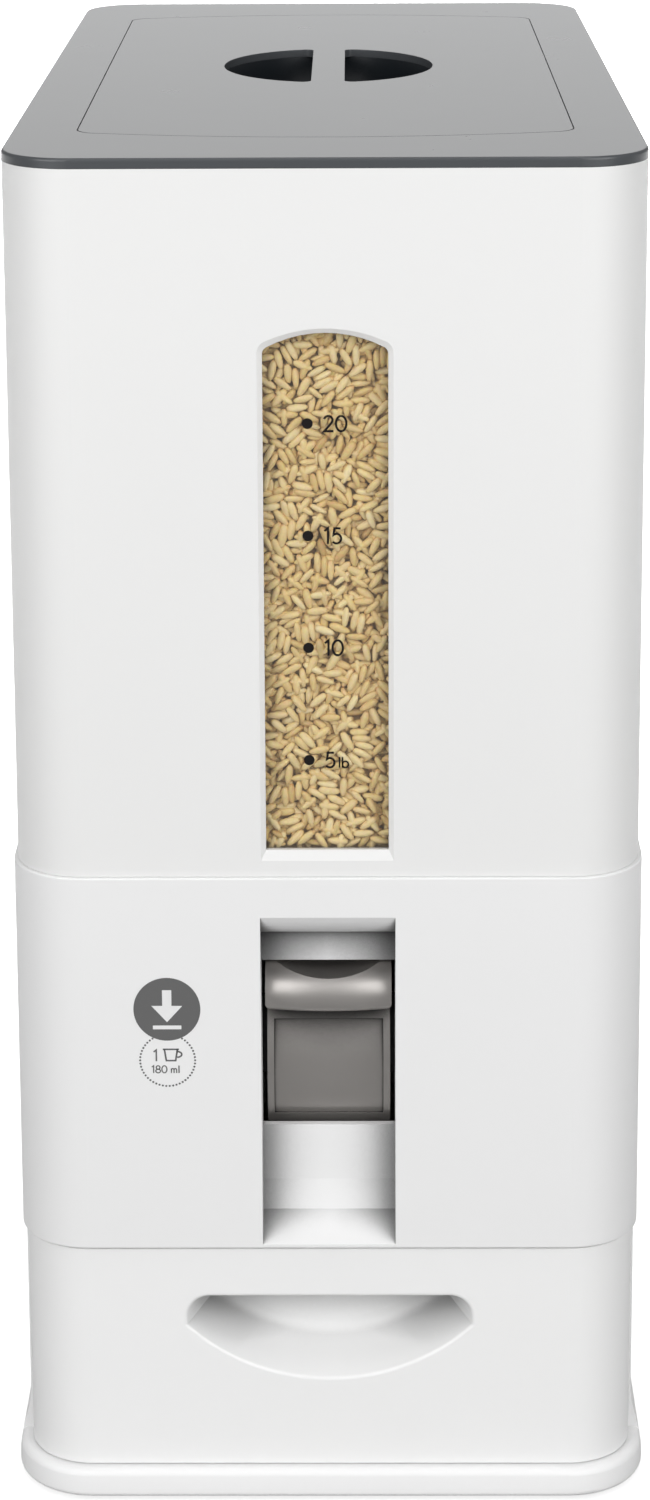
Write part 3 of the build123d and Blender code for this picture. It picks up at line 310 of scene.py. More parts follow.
# %% Make a plastic from the skin
def moulded_plastic(
    name,
    tone,
    deep,
    grain_scale,
    grain_depth,
    gloss,
    painted_shade=0.0,
    edge=0.0002,
    overhang=0.0,
    **sockets,
):
    """A plastic: its tone and deeper tone, the grain's scale per metre and its depth, the range of
    its roughness, the painted shade in its hollows, and any sockets of the shader itself."""
    material = bpy.data.materials.new(name)
    material.use_nodes = True
    tree = material.node_tree
    shader = tree.nodes["Principled BSDF"]
    for key, value in sockets.items():
        shader.inputs[key.replace("_", " ")].default_value = value
    surface = new_node(tree, "ShaderNodeGroup", (-400, 200), node_tree=skin)
    for title, value in (
        ("Tone", (*tone, 1.0)),
        ("Deep Tone", (*deep, 1.0)),
        ("Grain Scale", grain_scale),
        ("Grain Depth", grain_depth),
        ("Gloss Low", gloss[0]),
        ("Gloss High", gloss[1]),
        ("Painted Shade", painted_shade),
        ("Edge Radius", edge),
        ("Overhang", overhang),
    ):
        surface.inputs[title].default_value = value
    wire(
        tree,
        (surface, "Color", shader, "Base Color"),
        (surface, "Roughness", shader, "Roughness"),
        (surface, "Normal", shader, "Normal"),
    )
    return material


def dress(material, *names):
    """Puts a finish on the solids of these names."""
    for name in names:
        mesh = frame["nodes"][name].data
        mesh.materials.clear()
        mesh.materials.append(material)


# %% [markdown]
# ## The white shells
# The shells are a bright satin white, each from its own tool and batch, so their tones differ by a
# hair. The housing has the deepest hollow, the lever's niche, so it takes the most of the skin's
# painted shade. The drawer with its finger recess and the bin take a little painted shade.

# %% Finish the white shells
SHELL_GRAIN = 2600.0
SHELL_GLOSS = (0.42, 0.50)
SKY_LEAN = 0.8
bin_white = moulded_plastic(
    "bin_white",
    (0.80, 0.80, 0.795),
    (0.78, 0.78, 0.775),
    SHELL_GRAIN,
    0.08,
    SHELL_GLOSS,
    # painted shade in the bin's hollows, such as round the window
    painted_shade=0.5,
)
housing_white = moulded_plastic(
    "housing_white",
    (0.825, 0.825, 0.825),
    (0.805, 0.805, 0.805),
    SHELL_GRAIN,
    0.08,
    SHELL_GLOSS,
    # painted shade, strongest in the lever's niche under its ceiling
    painted_shade=2.3,
    overhang=SKY_LEAN,
)
base_white = moulded_plastic(
    "base_white", (0.855, 0.855, 0.855), (0.84, 0.84, 0.84), SHELL_GRAIN, 0.08, SHELL_GLOSS
)
drawer_white = moulded_plastic(
    "drawer_white",
    (0.86, 0.86, 0.86),
    (0.845, 0.845, 0.84),
    SHELL_GRAIN,
    0.07,
    (0.36, 0.44),
    # painted shade in the finger recess
    painted_shade=0.6,
    overhang=SKY_LEAN,
)
dress(bin_white, "storage_bin")
dress(base_white, "base_frame")
dress(housing_white, "dispenser_housing")
dress(drawer_white, "drawer_front", "drawer_box")
print("white shells:", bin_white.name, base_white.name, housing_white.name, drawer_white.name)

# %% [markdown]
# ## The greys
# The cover is a fine matt grey that looks light from the front only because it mirrors the bright
# studio at a low angle, which its dark rim gives away. A narrow range of gloss keeps that mirror
# image even. The walls of the cover's finger holes get the skin's painted shade. The pocket under
# the lid is nearly black. The lever wears a satin metallic paint of a warm grey: its flakes mirror
# the softboxes broadly, so its colour swings from light to dark over the rolled handle, and its
# sunk panel lies in the handle's shade, both real and deepened by the skin's painted shade.

# %% Finish the greys
cover_grey = moulded_plastic(
    "cover_grey",
    (0.0675, 0.0725, 0.0785),
    (0.0672, 0.0722, 0.0782),
    1600.0,
    0.02,
    (0.272, 0.278),
    # painted shade on the walls of the finger holes
    painted_shade=2.5,
    edge=0.0004,
)
liner_grey = moulded_plastic(
    "liner_grey",
    (0.010, 0.013, 0.016),
    (0.008, 0.010, 0.013),
    2200.0,
    0.10,
    (0.30, 0.40),
    Specular_IOR_Level=0.22,
)
lever_grey = moulded_plastic(
    "lever_grey",
    (0.45, 0.430, 0.413),
    (0.41, 0.391, 0.375),
    3600.0,
    0.06,
    (0.34, 0.40),
    # painted shade on the sunk panel under the handle
    painted_shade=3.0,
    overhang=SKY_LEAN,
    Metallic=0.80,
)
dress(cover_grey, "top_frame", "lid_cover")
dress(liner_grey, "lid_liner")
dress(lever_grey, "press_lever")
print("greys:", cover_grey.name, liner_grey.name, lever_grey.name)

# %% [markdown]
# ## What works unseen
# The moving parts inside are plain dark plastic or undyed plastic, as nobody sees them. The seals
# are translucent silicone that looks a milky grey, and the feet are black rubber with a rough skin.

# %% Finish the works
works_dark = moulded_plastic(
    "works_dark", (0.045, 0.045, 0.045), (0.035, 0.035, 0.035), 1800.0, 0.15, (0.4, 0.5)
)
works_plain = moulded_plastic(
    "works_plain", (0.50, 0.50, 0.47), (0.44, 0.44, 0.41), 1800.0, 0.15, (0.4, 0.5)
)
seal_silicone = moulded_plastic(
    "seal_silicone", (0.42, 0.42, 0.41), (0.36, 0.36, 0.35), 1200.0, 0.2, (0.5, 0.62)
)
foot_rubber = moulded_plastic(
    "foot_rubber", (0.022, 0.022, 0.022), (0.016, 0.016, 0.016), 900.0, 0.5, (0.7, 0.85)
)
dress(works_dark, "gate_rotor", "outlet_chute")
dress(works_plain, "measuring_chamber")
dress(seal_silicone, "window_gasket", "top_frame_seal", "lid_seal")
dress(foot_rubber, "rubber_feet")
print("works:", works_dark.name, works_plain.name, seal_silicone.name, foot_rubber.name)

# %% [markdown]
# ## Steel and the clear pane
# The screws, pins and springs are zinc plated: a bright metal whose plating is slightly cloudy.
# The pane is clear plastic. Real glass shading would leave the rice behind it in the dark without
# caustics, so the pane is a nearly transparent gloss instead, which shows by its reflections.

# %% Finish the metal and the pane
plated_steel = moulded_plastic(
    "plated_steel", (0.62, 0.62, 0.61), (0.50, 0.50, 0.50), 600.0, 0.05, (0.22, 0.38), Metallic=1.0
)
dress(
    plated_steel,
    "base_screws",
    "drawer_screws",
    "housing_screws",
    "chamber_screws",
    "pivot_pins",
    "return_springs",
)
clear_pane = moulded_plastic(
    "clear_pane", (0.30, 0.30, 0.30), (0.26, 0.26, 0.26), 200.0, 0.01, (0.04, 0.09), Alpha=0.08
)
dress(clear_pane, "window_pane")
print("solids still bare:", [n for n, solid in frame["nodes"].items() if not solid.data.materials])

# %% [markdown]
# ## The studio floor
# A white sweep under the object takes its soft contact shadow. For the camera alone it also glows
# a little, as a lit acrylic table does, which keeps it white without a brighter lamp on the object.
# The flag of the three front lamps is light linking: the floor lies in a collection whose members
# they leave unlit.

# %% Lay the floor
FLOOR_GLOW = 0.75
FLOOR_HALF, FLOOR_Z = 6.0, -0.0002
floor_paper = moulded_plastic(
    "floor_paper", (0.93, 0.93, 0.93), (0.91, 0.91, 0.91), 300.0, 0.02, (0.8, 0.9)
)
paper = floor_paper.node_tree
paper_shader = paper.nodes["Principled BSDF"]
paper_shader.inputs["Emission Color"].default_value = WHITE
seen = new_node(paper, "ShaderNodeLightPath", (-600, -300))
glow = new_node(paper, "ShaderNodeMath", (-300, -300), operation="MULTIPLY")
glow.inputs[1].default_value = FLOOR_GLOW
wire(
    paper,
    (seen, "Is Camera Ray", glow, 0),
    (glow, "Value", paper_shader, "Emission Strength"),
)
reach = np.linspace(-FLOOR_HALF, FLOOR_HALF, 3)
across, along = np.meshgrid(reach, reach)
floor_points = np.stack([across, along, np.full_like(across, FLOOR_Z)], axis=-1).reshape(-1, 3)
floor_mesh = bpy.data.meshes.new("floor")
floor_mesh.from_pydata(floor_points.tolist(), [], grid_faces(3, 3, False).tolist())
floor_mesh.materials.append(floor_paper)
floor = bpy.data.objects.new("floor", floor_mesh)
bpy.context.scene.collection.objects.link(floor)
flag = bpy.data.collections.new("kept_in_shade")
flag.objects.link(floor)
flag.collection_objects[0].light_linking.link_state = "EXCLUDE"
for key in (key_left, key_right, top_box):
    key.light_linking.receiver_collection = flag
print("floor faces:", len(floor_mesh.polygons), "flag:", flag.name)

# %% [markdown]
# ## One grain of rice
# A grain is a long round body, blunt at one end and drawn in at the other, a little flattened,
# with a shallow groove along its side. As a surface, its radius is a function of the way along it
# and of the angle round it. Each grain is repeated thousands of times, so it has few faces.


# %% Shape a grain
NEAR_GRAIN, FAR_GRAIN = (8, 10), (4, 6)
HALF_WIDTH, HALF_THICKNESS = 0.195, 0.165
BLUNTNESS, TAPER = 0.42, 0.12
GROOVE_DEPTH, GROOVE_TURN, GROOVE_SPREAD = 0.10, 0.8, 0.02


def grain_points(rings, sides):
    """Points of a grain 1 long. With t from -1 to 1 along it, its radius is (1 - t^2)^bluntness
    times (1 + taper t) times (1 - depth exp(-(cos(turn - groove turn) - 1)^2 / spread))."""
    along_axis = np.cos(np.linspace(0.0, np.pi, rings + 2))[1:-1]
    turn = np.linspace(0.0, 2 * np.pi, sides, endpoint=False)
    girth = (1 - along_axis**2) ** BLUNTNESS * (1.0 + TAPER * along_axis)
    dip = np.exp(-((np.cos(turn - GROOVE_TURN) - 1.0) ** 2) / GROOVE_SPREAD)
    width = girth[:, None] * (1.0 - GROOVE_DEPTH * dip)[None, :]
    ring_points = np.stack(
        [
            np.broadcast_to(along_axis[:, None] * 0.5, width.shape),
            width * np.cos(turn) * HALF_WIDTH,
            width * np.sin(turn) * HALF_THICKNESS,
        ],
        axis=-1,
    ).reshape(-1, 3)
    poles = np.array([[0.5, 0.0, 0.0], [-0.5, 0.0, 0.0]])
    return np.concatenate([ring_points, poles])


def grain_faces(rings, sides):
    """Faces of that grain: quads between rings, and a fan of triangles at each pole."""
    body = grid_faces(rings, sides, True)[:, ::-1]
    here = np.arange(sides)
    there = (here + 1) % sides
    first = np.stack([there, here, np.full(sides, rings * sides)], axis=-1)
    last = np.stack([here, there, np.full(sides, rings * sides + 1)], axis=-1)
    last[:, :2] += (rings - 1) * sides
    return body, first[:, ::-1], last[:, ::-1]


print("points of a near grain:", len(grain_points(*NEAR_GRAIN)))
print("points of a far grain:", len(grain_points(*FAR_GRAIN)))

# %% [markdown]
# ## Rice finish
# Grains differ from one another more than within themselves, so each gets its own tone from an
# attribute on its points: mostly warm cream, some nearly white, some browner. A second value runs
# along the grain and darkens its tip. A fine noise mottles the colour and the gloss as bran does.

# %% Finish the rice
rice_bran = bpy.data.materials.new("rice_bran")
rice_bran.use_nodes = True
bran = rice_bran.node_tree
bran_shader = bran.nodes["Principled BSDF"]
grain_mark = new_node(bran, "ShaderNodeAttribute", (-900, 100), attribute_name="grain_tone")
split = new_node(bran, "ShaderNodeSeparateColor", (-700, 100))
place = new_node(bran, "ShaderNodeTexCoord", (-900, -300))
speck = new_node(bran, "ShaderNodeTexNoise", (-700, -300), Scale=900.0, Detail=3.0)
ramp = new_node(bran, "ShaderNodeValToRGB", (-450, 200))
ramp.color_ramp.elements[0].color = (0.58, 0.36, 0.108, 1.0)
ramp.color_ramp.elements[1].color = (0.92, 0.77, 0.43, 1.0)
middle_tone = ramp.color_ramp.elements.new(0.5)
middle_tone.color = (0.82, 0.605, 0.255, 1.0)
tip = new_node(bran, "ShaderNodeMix", (-150, 200), data_type="RGBA", blend_type="MULTIPLY")
tip.inputs["B"].default_value = (0.74, 0.58, 0.36, 1.0)
streak = new_node(bran, "ShaderNodeMix", (50, 200), data_type="RGBA", blend_type="OVERLAY")
streak.inputs["Factor"].default_value = 0.35
rough = new_node(bran, "ShaderNodeMapRange", (-150, -150), To_Min=0.38, To_Max=0.6)
pit = new_node(bran, "ShaderNodeBump", (-150, -350), Strength=0.25, Distance=0.0001)
wire(
    bran,
    (grain_mark, "Color", split, "Color"),
    (split, "Red", ramp, "Fac"),
    (ramp, "Color", tip, "A"),
    (split, "Green", tip, "Factor"),
    (place, "Object", speck, "Vector"),
    (tip, "Result", streak, "A"),
    (speck, "Color", streak, "B"),
    (speck, "Fac", rough, "Value"),
    (speck, "Fac", pit, "Height"),
    (streak, "Result", bran_shader, "Base Color"),
    (rough, "Result", bran_shader, "Roughness"),
    (pit, "Normal", bran_shader, "Normal"),
)
print("nodes of the rice:", len(bran.nodes))

# %% [markdown]
# ## Rice behind the window
# A simulation of falling grains would take minutes. What shows is only a skin of grains against
# the pane, so three layers are packed in the plane of the pane instead. Each grain counts as
# three discs on a line, and discs that overlap push their grains apart and turn them, round after
# round, until the grains lie side by side as poured ones do.


# %% Strew grains
TONE_MIDDLE, TONE_SPREAD = 0.62, 0.15
TIP_START, TIP_RUN = 0.36, 0.14


def strew(name, centres, lean, tilt, lengths, push, grain_kind=NEAR_GRAIN):
    """One mesh of many grains. The long axis of each is (cos lean cos tilt, sin tilt, sin lean
    cos tilt), it is spun about that axis at random, and push moves it to where it lies."""
    shape = grain_points(*grain_kind)
    count = len(centres)
    body_quads, first_fan, last_fan = grain_faces(*grain_kind)
    axis = np.stack(
        [np.cos(lean) * np.cos(tilt), np.sin(tilt), np.sin(lean) * np.cos(tilt)], axis=-1
    )
    side = np.cross(axis, np.array([0.0, 1.0, 0.0]))
    side /= np.linalg.norm(side, axis=1, keepdims=True)
    spin = chance.uniform(0, 2 * np.pi, count)[:, None]
    third = np.cross(axis, side)
    side, third = (
        side * np.cos(spin) + third * np.sin(spin),
        third * np.cos(spin) - side * np.sin(spin),
    )
    turned = (
        shape[None, :, 0:1] * axis[:, None, :]
        + shape[None, :, 1:2] * side[:, None, :]
        + shape[None, :, 2:3] * third[:, None, :]
    ) * lengths[:, None, None]
    points = turned + push(turned, centres)[:, None, :]
    step = (np.arange(count) * len(shape))[:, None, None]
    quads = (body_quads[None] + step).reshape(-1, 4)
    fans = np.concatenate([(first_fan[None] + step), (last_fan[None] + step)]).reshape(-1, 3)
    piece = add_piece(name, points.reshape(-1, 3), [*quads, *fans], "cabinet", rice_bran)
    tone = np.clip(chance.normal(TONE_MIDDLE, TONE_SPREAD, count), 0, 1)
    near_tip = np.clip((np.abs(shape[:, 0]) - TIP_START) / TIP_RUN, 0, 1)
    tip_strength = chance.uniform(0.2, 1.0, (count, 1))
    colours = np.ones((count * len(shape), 4), dtype=np.float32)
    colours[:, 0] = np.repeat(tone, len(shape))
    colours[:, 1] = (near_tip[None, :] * tip_strength).ravel()
    layer = piece.data.color_attributes.new("grain_tone", "FLOAT_COLOR", "POINT")
    layer.data.foreach_set("color", colours.ravel())
    print(name, count, "grains", len(piece.data.polygons), "faces")


# %% Pack grains in a plane
GRAIN_LONG = 6.7 * MM
DISC = 1.14 * MM
DISC_PLACES = np.array([-0.31, 0.0, 0.31]) * GRAIN_LONG
ROUNDS, LOOK_EVERY = 140, 14
EASE = 0.22


def pack_grains(low, high, count):
    """Centres and turns of grains of three discs each. Discs closer than 2 radii are pushed apart
    by their overlap, eased so that it settles. Neighbours are looked up only every few rounds."""
    centres = chance.uniform(low, high, (count, 2))
    turn = chance.uniform(0.0, np.pi, count)
    owner = np.repeat(np.arange(count), 3)
    for step in range(ROUNDS):
        axis = np.stack([np.cos(turn), np.sin(turn)], axis=-1)
        arms = (DISC_PLACES[None, :, None] * axis[:, None, :]).reshape(-1, 2)
        discs = np.repeat(centres, 3, axis=0) + arms
        if step % LOOK_EVERY == 0:
            apart = np.linalg.norm(discs[:, None] - discs[None], axis=-1)
            one, other = np.nonzero((apart < 4 * DISC) & (owner[:, None] != owner[None]))
        gap = discs[one] - discs[other]
        far = np.linalg.norm(gap, axis=1, keepdims=True) + 1e-9
        push = np.clip(2 * DISC - far, 0.0, None) * gap / far
        shove = np.stack(
            [np.bincount(one, push[:, k], minlength=3 * count) for k in (0, 1)], axis=-1
        )
        twist = arms[:, 0] * shove[:, 1] - arms[:, 1] * shove[:, 0]
        centres += EASE * shove.reshape(-1, 3, 2).sum(axis=1)
        turn += EASE * twist.reshape(-1, 3).sum(axis=1) / (2 * DISC_PLACES[2] ** 2)
        centres = np.clip(centres, low, high)
    return centres, turn


def clear_of_pane(turned, centres):
    """Slides each grain back until its foremost point is where its centre was meant to be."""
    moved = centres.copy()
    moved[:, 1] -= turned[:, :, 1].min(axis=1)
    return moved


# %% Lay three layers behind the pane
LAYERS = (("front", 0.05, 470), ("middle", 1.7, 520), ("rear", 3.4, 520))
PANE_LOW, PANE_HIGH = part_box("window_pane")
pack_low = np.array([PANE_LOW[0] - 1 * MM, PANE_LOW[2] + 2.5 * MM])
pack_high = np.array([PANE_HIGH[0] + 1 * MM, PANE_HIGH[2] + 2 * MM])
for layer_name, gap, count in LAYERS:
    centres, turn = pack_grains(pack_low, pack_high, count)
    behind = PANE_HIGH[1] + gap * MM + chance.uniform(0.0, 0.6, count) * MM
    strew(
        "window_rice_" + layer_name,
        np.stack([centres[:, 0], behind, centres[:, 1]], axis=-1),
        lean=turn,
        tilt=chance.normal(0.0, 0.10, count),
        lengths=chance.normal(GRAIN_LONG, 0.35 * MM, count),
        push=clear_of_pane,
    )

# %% [markdown]
# ## The heap of rice in the bin
# With the lid off, the stored rice shows as a gently uneven surface. Its body is a closed skin in
# rounded rectangles that shrink to the middle above and below: its top is a low swell, and its
# underside follows the hopper's sloping floor. Such a rectangle is a superellipse: its x goes as
# the cosine of the turn, with its sign kept and its size raised to the power 0.16, and its y as the
# sine. Cells in its colour and bumps stand for the grains that show between those strewn on it, and
# the colour turns dark brown towards each cell's sunken edge as painted shade in the gaps.

# %% Finish the heap's body
rice_bulk = bpy.data.materials.new("rice_bulk")
rice_bulk.use_nodes = True
bulk = rice_bulk.node_tree
bulk_place = new_node(bulk, "ShaderNodeTexCoord", (-900, 0))
bulk_cells = new_node(bulk, "ShaderNodeTexVoronoi", (-650, 0), Scale=330.0)
# Painted shade: the tone darkens to brown towards each cell's edge, in the gaps between grains.
bulk_tone_gap_shade = new_node(bulk, "ShaderNodeValToRGB", (-400, 100))
bulk_tone_gap_shade.color_ramp.elements[0].color = (0.74, 0.54, 0.25, 1.0)
bulk_tone_gap_shade.color_ramp.elements[1].color = (0.36, 0.22, 0.08, 1.0)
bulk_bump = new_node(bulk, "ShaderNodeBump", (-200, -200), Strength=0.9, Distance=0.0012)
bulk_bump.invert = True
bulk_shader = bulk.nodes["Principled BSDF"]
bulk_shader.inputs["Roughness"].default_value = 0.6
wire(
    bulk,
    (bulk_place, "Object", bulk_cells, "Vector"),
    (bulk_cells, "Distance", bulk_tone_gap_shade, "Fac"),
    (bulk_cells, "Distance", bulk_bump, "Height"),
    (bulk_tone_gap_shade, "Color", bulk_shader, "Base Color"),
    (bulk_bump, "Normal", bulk_shader, "Normal"),
)
print("nodes of the heap's body:", len(bulk.nodes))

# %% Lay out the heap's rings
HEAP_HALF = np.array([0.0972, 0.1935])
HEAP_MIDDLE_Y = 0.0035
HEAP_CORNER = 0.16
TOP_RINGS, LOW_RINGS, HEAP_SIDES, INNERMOST = 60, 24, 160, 0.004
around = np.linspace(0, 2 * np.pi, HEAP_SIDES, endpoint=False)
loop_x = np.sign(np.cos(around)) * np.abs(np.cos(around)) ** HEAP_CORNER
loop_y = np.sign(np.sin(around)) * np.abs(np.sin(around)) ** HEAP_CORNER
shrink = np.concatenate(
    [np.linspace(INNERMOST, 1.0, TOP_RINGS), np.linspace(1.0, INNERMOST, LOW_RINGS)]
)
heap_x = shrink[:, None] * loop_x[None, :] * HEAP_HALF[0]
heap_y = shrink[:, None] * loop_y[None, :] * HEAP_HALF[1] + HEAP_MIDDLE_Y
print("rings and sides of the heap:", heap_x.shape)

# %% Raise and close the heap
HEAP_LEVEL = 0.405
THROAT_Y, THROAT_Z = -0.138, 0.1925
THROAT_HALF_X, THROAT_HALF_Y = 0.0585, 0.009
SLOPE_BACK, SLOPE_FRONT, SLOPE_SIDE = np.tan(np.radians((12.5, 32.0, 38.0)))


def heap_swell(x, y):
    """Height over the heap's level: a product of two waves, a slanting ripple and a long swell."""
    return (
        0.0022 * np.sin(x * 31 + 0.7) * np.cos(y * 17)
        + 0.0012 * np.sin(x * 83 - y * 61)
        + 0.003 * np.cos(y * 8)
    )


rise_back = (heap_y - THROAT_Y - THROAT_HALF_Y) * SLOPE_BACK
rise_front = (THROAT_Y - THROAT_HALF_Y - heap_y) * SLOPE_FRONT
rise_side = (np.abs(heap_x) - THROAT_HALF_X) * SLOPE_SIDE
floor_z = THROAT_Z + np.maximum.reduce([rise_back, rise_front, rise_side, np.zeros_like(heap_x)])
rings = TOP_RINGS + LOW_RINGS
is_top = np.arange(rings)[:, None] < TOP_RINGS
heap_z = np.where(is_top, HEAP_LEVEL + heap_swell(heap_x, heap_y), floor_z)
shell_points = np.stack([heap_x, heap_y, heap_z], axis=-1).reshape(-1, 3)
poles = [shell_points[:HEAP_SIDES].mean(0), shell_points[-HEAP_SIDES:].mean(0)]
heap_points = np.concatenate([shell_points, poles])
here = np.arange(HEAP_SIDES)
there = (here + 1) % HEAP_SIDES
top_pole = np.full(HEAP_SIDES, rings * HEAP_SIDES)
last_ring = (rings - 1) * HEAP_SIDES
top_fan = np.stack([there, here, top_pole], axis=-1)
low_fan = np.stack([here + last_ring, there + last_ring, top_pole + 1], axis=-1)
heap_faces = [*grid_faces(rings, HEAP_SIDES, True), *top_fan, *low_fan]
add_piece("rice_heap", heap_points, heap_faces, "cabinet", rice_bulk)
print("faces of the heap:", len(heap_faces))

# %% [markdown]
# ## Loose grains on the heap
# The top grains of poured rice lie nearly flat and point every way. Spots drawn at random would
# leave bare patches, so two layers lie on a staggered lattice that is shaken a little. They show
# only with the lid off, so each grain has few faces.

# %% Strew grains over the heap
HEAP_ACROSS, HEAP_ALONG = 44, 88
FIELD_SIZE, FIELD_CORNER = (0.188, 0.378), (-0.094, -0.186)
JITTER = 0.45


def heap_spots():
    """Spots over the heap: a staggered lattice, each spot moved by a share of its step."""
    column, row = np.meshgrid(np.arange(HEAP_ACROSS), np.arange(HEAP_ALONG))
    staggered = column + 0.5 * (row % 2) + 0.25
    spots = np.stack([staggered, row + 0.5, 0.0 * row], axis=-1).reshape(-1, 3)
    spots[:, :2] += chance.uniform(-JITTER, JITTER, (len(spots), 2))
    spots *= (FIELD_SIZE[0] / HEAP_ACROSS, FIELD_SIZE[1] / HEAP_ALONG, 1.0)
    return spots + (*FIELD_CORNER, 0.0)


def lie_on_heap(turned, centres):
    """Sets each grain down on the heap's swell, at its own height."""
    moved = centres.copy()
    swell = heap_swell(centres[:, 0], centres[:, 1])
    moved[:, 2] += HEAP_LEVEL + swell + chance.uniform(-0.0004, 0.0006, len(centres))
    return moved


for layer_name, rise in (("lower", -0.2), ("upper", 1.1)):
    spots = heap_spots() + (0.0, 0.0, rise * MM)
    strew(
        "heap_rice_" + layer_name,
        spots,
        lean=chance.normal(0.0, 0.2, len(spots)),
        tilt=chance.uniform(-1.5, 1.5, len(spots)),
        lengths=chance.normal(GRAIN_LONG, 0.4 * MM, len(spots)),
        push=lie_on_heap,
        grain_kind=FAR_GRAIN,
    )

# %% [markdown]
# ## Printed marks
# Pad printing lays ink a few hundredths of a millimetre thick on the finished part. Text turned
# into a mesh would be quickest, but Blender's own typeface has a numeral one without a flag. So the
# figures are drawn as an engraver does, with strokes of one width, and a dot or a disc is a fan of
# triangles. They stand just proud of the face that they are printed on.


# %% Helpers for print
def print_ink(name, tone):
    """Ink: one tone with a slight mottle from the pad, half matt."""
    deep = tuple(0.8 * c for c in tone)
    return moulded_plastic(name, tone, deep, 1400.0, 0.05, (0.4, 0.55), Specular_IOR_Level=0.15)


def printed_spots(name, centres, radius, face, body, ink, sides=24):
    """Round spots at centres (x, z) on a front face. Each is a fan of triangles from its middle to
    a rim of radius times the cosine across, and radius times the sine up."""
    turn = np.linspace(0, 2 * np.pi, sides, endpoint=False)
    rim = np.stack([np.cos(turn), np.zeros(sides), np.sin(turn)], axis=-1) * radius
    one = np.concatenate([rim, np.zeros((1, 3))])
    centres = np.asarray(centres)
    middle = np.stack([centres[:, 0], np.full(len(centres), face), centres[:, 1]], axis=-1)
    points = (one[None] + middle[:, None]).reshape(-1, 3)
    here = np.arange(sides)
    fan = np.stack([here, (here + 1) % sides, np.full(sides, sides)], axis=-1)
    faces = (fan[None] + (np.arange(len(centres)) * (sides + 1))[:, None, None]).reshape(-1, 3)
    add_piece(name, points, faces, body, ink, smooth=False)


def printed_lines(name, paths, width, face, body, ink):
    """Lines of a width along paths of points (x, z). Each point is set off to both sides, along
    the mean of the normals of the runs before and after it, and farther where the path bends."""
    points, faces = [], []
    for path in paths:
        path = np.asarray(path, dtype=float)
        run = np.diff(path, axis=0)
        run /= np.linalg.norm(run, axis=1, keepdims=True)
        normal = np.stack([-run[:, 1], run[:, 0]], axis=-1)
        joint = np.concatenate([normal[:1], normal[:-1] + normal[1:], normal[-1:]])
        joint /= np.linalg.norm(joint, axis=1, keepdims=True)
        bend = (joint * np.concatenate([normal, normal[-1:]])).sum(axis=1, keepdims=True)
        side = joint * width / 2 / bend
        edge = np.stack([path + side, path - side], axis=1).reshape(-1, 2)
        start = len(points)
        points += [(x, face, z) for x, z in edge]
        step = start + 2 * np.arange(len(path) - 1)[:, None]
        faces += (step + np.array([0, 1, 3, 2])[None]).tolist()
    add_piece(name, points, faces, body, ink, smooth=False)


# %% [markdown]
# ## Figures in strokes
# Each figure is a list of paths in a box 1 high, with the advance to the next figure before it.
# Straight runs are given by their corners, and round ones by arcs, the closed ones as a full turn.


# %% Strokes of the figures
def bow(middle, reach, start, stop, steps=28):
    """Points of an arc round a middle, between two angles in degrees: the middle plus the reach
    across times the cosine, and plus the reach up times the sine."""
    turn = np.radians(np.linspace(start, stop, steps))
    return np.stack(
        [middle[0] + reach[0] * np.cos(turn), middle[1] + reach[1] * np.sin(turn)], axis=-1
    )


STROKES = {
    "0": (0.80, [bow((0.34, 0.5), (0.31, 0.47), 90, 450, 56)]),
    "1": (0.46, [[(0.02, 0.80), (0.24, 0.97), (0.24, 0.0)]]),
    "2": (0.72, [[*bow((0.29, 0.71), (0.25, 0.26), 165, -38), (0.05, 0.03), (0.60, 0.03)]]),
    "5": (
        0.74,
        [[(0.54, 0.97), (0.17, 0.97), *bow((0.29, 0.33), (0.28, 0.30), 128, -142)]],
    ),
    "8": (
        0.78,
        [
            bow((0.34, 0.74), (0.23, 0.23), 90, 450, 48),
            bow((0.34, 0.27), (0.29, 0.24), 90, 450, 48),
        ],
    ),
    "b": (0.70, [[(0.08, 0.0), (0.08, 1.0)], bow((0.34, 0.31), (0.26, 0.29), 180, 540, 48)]),
    "l": (0.30, [[(0.12, 0.0), (0.12, 1.0)]]),
    "m": (
        0.90,
        [
            [(0.08, 0.0), (0.08, 0.62)],
            [*bow((0.24, 0.42), (0.16, 0.17), 180, 0, 14), (0.40, 0.0)],
            [*bow((0.56, 0.42), (0.16, 0.17), 180, 0, 14), (0.72, 0.0)],
        ],
    ),
    " ": (0.34, []),
}


def printed_figure(name, words, height, left, middle, face, body, ink, stroke=0.72 * MM):
    """Figures on a front face, from a left edge and about a middle height. Gives their width."""
    pen = 0.0
    paths = []
    for letter in words:
        advance, strokes = STROKES[letter]
        paths += [np.asarray(path) + (pen, -0.5) for path in strokes]
        pen += advance
    placed = [path * height + (left, middle) for path in paths]
    printed_lines(name, placed, stroke, face, body, ink)
    print(name, "is", round(pen * height / MM, 1), "mm across")
    return pen * height


# %% [markdown]
# ## The scale on the pane
# Four dots and their numbers tell how many pounds of rice are left, in steps of five. Their heights
# are those of the photo. The lowest number carries the unit.

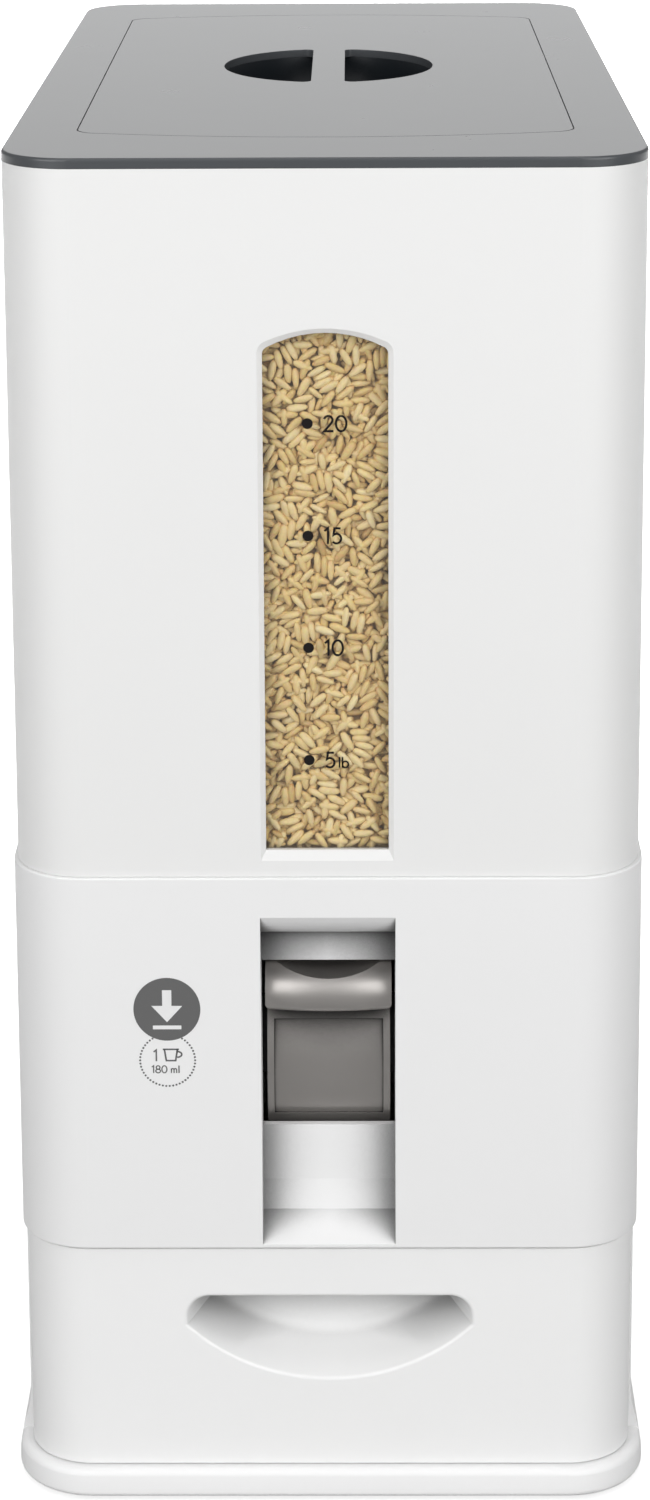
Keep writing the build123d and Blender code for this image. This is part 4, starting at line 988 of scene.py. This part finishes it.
# %% Print the scale on the pane
INK = 0.04 * MM
MARKS = {"20": 366.3, "15": 330.1, "10": 293.5, "5": 256.3}
DOT_X, DOT_RADIUS = -5.65 * MM, 1.72 * MM
FIGURE_LEFT, FIGURE_HEIGHT = -0.6 * MM, 5.2 * MM
UNIT_GAP, UNIT_DROP, UNIT_HEIGHT = 0.3 * MM, 0.8 * MM, 3.6 * MM
scale_ink = print_ink("scale_ink", (0.012, 0.010, 0.010))
on_pane = (PANE_LOW[1] - INK, "cabinet", scale_ink)
dots = [(DOT_X, level * MM) for level in MARKS.values()]
printed_spots("scale_dots", dots, DOT_RADIUS, *on_pane)
for words, level in MARKS.items():
    width = printed_figure(
        "scale_" + words, words, FIGURE_HEIGHT, FIGURE_LEFT, level * MM, *on_pane
    )
printed_figure(
    "scale_unit",
    "lb",
    UNIT_HEIGHT,
    FIGURE_LEFT + width + UNIT_GAP,
    MARKS["5"] * MM - UNIT_DROP,
    *on_pane,
    stroke=0.55 * MM,
)

# %% [markdown]
# ## The badge by the lever
# A dark disc with a plain arrow that points down to a bar says press, and a ring of dots under it
# holds a numeral one, a small cup and the volume of one portion.

# %% Print the badge's disc and its ring
BUTTON, RING = np.array([-52.0, 172.8]) * MM, np.array([-52.0, 155.2]) * MM
BUTTON_RADIUS, RING_RADIUS = 10.8 * MM, 8.9 * MM
RING_DOTS, RING_DOT_RADIUS, RING_CLEAR = 50, 0.35 * MM, 0.3 * MM
badge_ink = print_ink("badge_ink", (0.145, 0.145, 0.145))
badge_white = print_ink("badge_white", (0.86, 0.86, 0.86))
housing_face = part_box("dispenser_housing")[0][1] - INK
on_housing = (housing_face, "cabinet", badge_ink)
on_disc = (housing_face - INK, "cabinet", badge_white)
printed_spots("badge_disc", [BUTTON], BUTTON_RADIUS, *on_housing, sides=96)
dot_turn = np.linspace(0, 2 * np.pi, RING_DOTS, endpoint=False)
dots = RING + RING_RADIUS * np.stack([np.cos(dot_turn), np.sin(dot_turn)], axis=-1)
dots = dots[np.linalg.norm(dots - BUTTON, axis=1) > BUTTON_RADIUS + RING_CLEAR]
printed_spots("badge_ring", dots, RING_DOT_RADIUS, *on_housing, sides=12)
print("dots of the ring that are clear of the disc:", len(dots))

# %% Print what the disc and the ring hold
ARROW = [(-1.5, 6.6), (1.5, 6.6), (1.5, 1.2), (5.0, 1.2), (0, -4.4), (-5.0, 1.2), (-1.5, 1.2)]
STOP = [(-4.6, -6.2), (4.6, -6.2)]
CUP_BODY = [(-1.4, 2.1), (-0.8, -1.8), (2.2, -1.8), (2.8, 2.1)]
CUP_RIM = [(-1.9, 2.1), (3.3, 2.1)]
arrow_points = np.insert(BUTTON + np.array(ARROW) * MM, 1, on_disc[0], axis=1)
arrow_faces = [(6, 2, 1, 0), (5, 4, 3)]
add_piece("badge_arrow", arrow_points, arrow_faces, "cabinet", badge_white, smooth=False)
printed_lines("badge_stop", [BUTTON + np.array(STOP) * MM], 1.3 * MM, *on_disc)
one_left, one_middle = RING + np.array([-4.6, 1.7]) * MM
printed_figure("badge_one", "1", 4.0 * MM, one_left, one_middle, *on_housing, stroke=0.5 * MM)
cup = [CUP_BODY, CUP_RIM, bow((2.7, 0.35), (1.5, 1.0), 90, -90, 12)]
cup_paths = [RING + (np.asarray(path) + (0.4, 1.7)) * MM for path in cup]
printed_lines("badge_cup", cup_paths, 0.55 * MM, *on_housing)
volume_left, volume_middle = RING + np.array([-5.2, -3.1]) * MM
printed_figure(
    "badge_volume", "180 ml", 2.6 * MM, volume_left, volume_middle, *on_housing, stroke=0.40 * MM
)
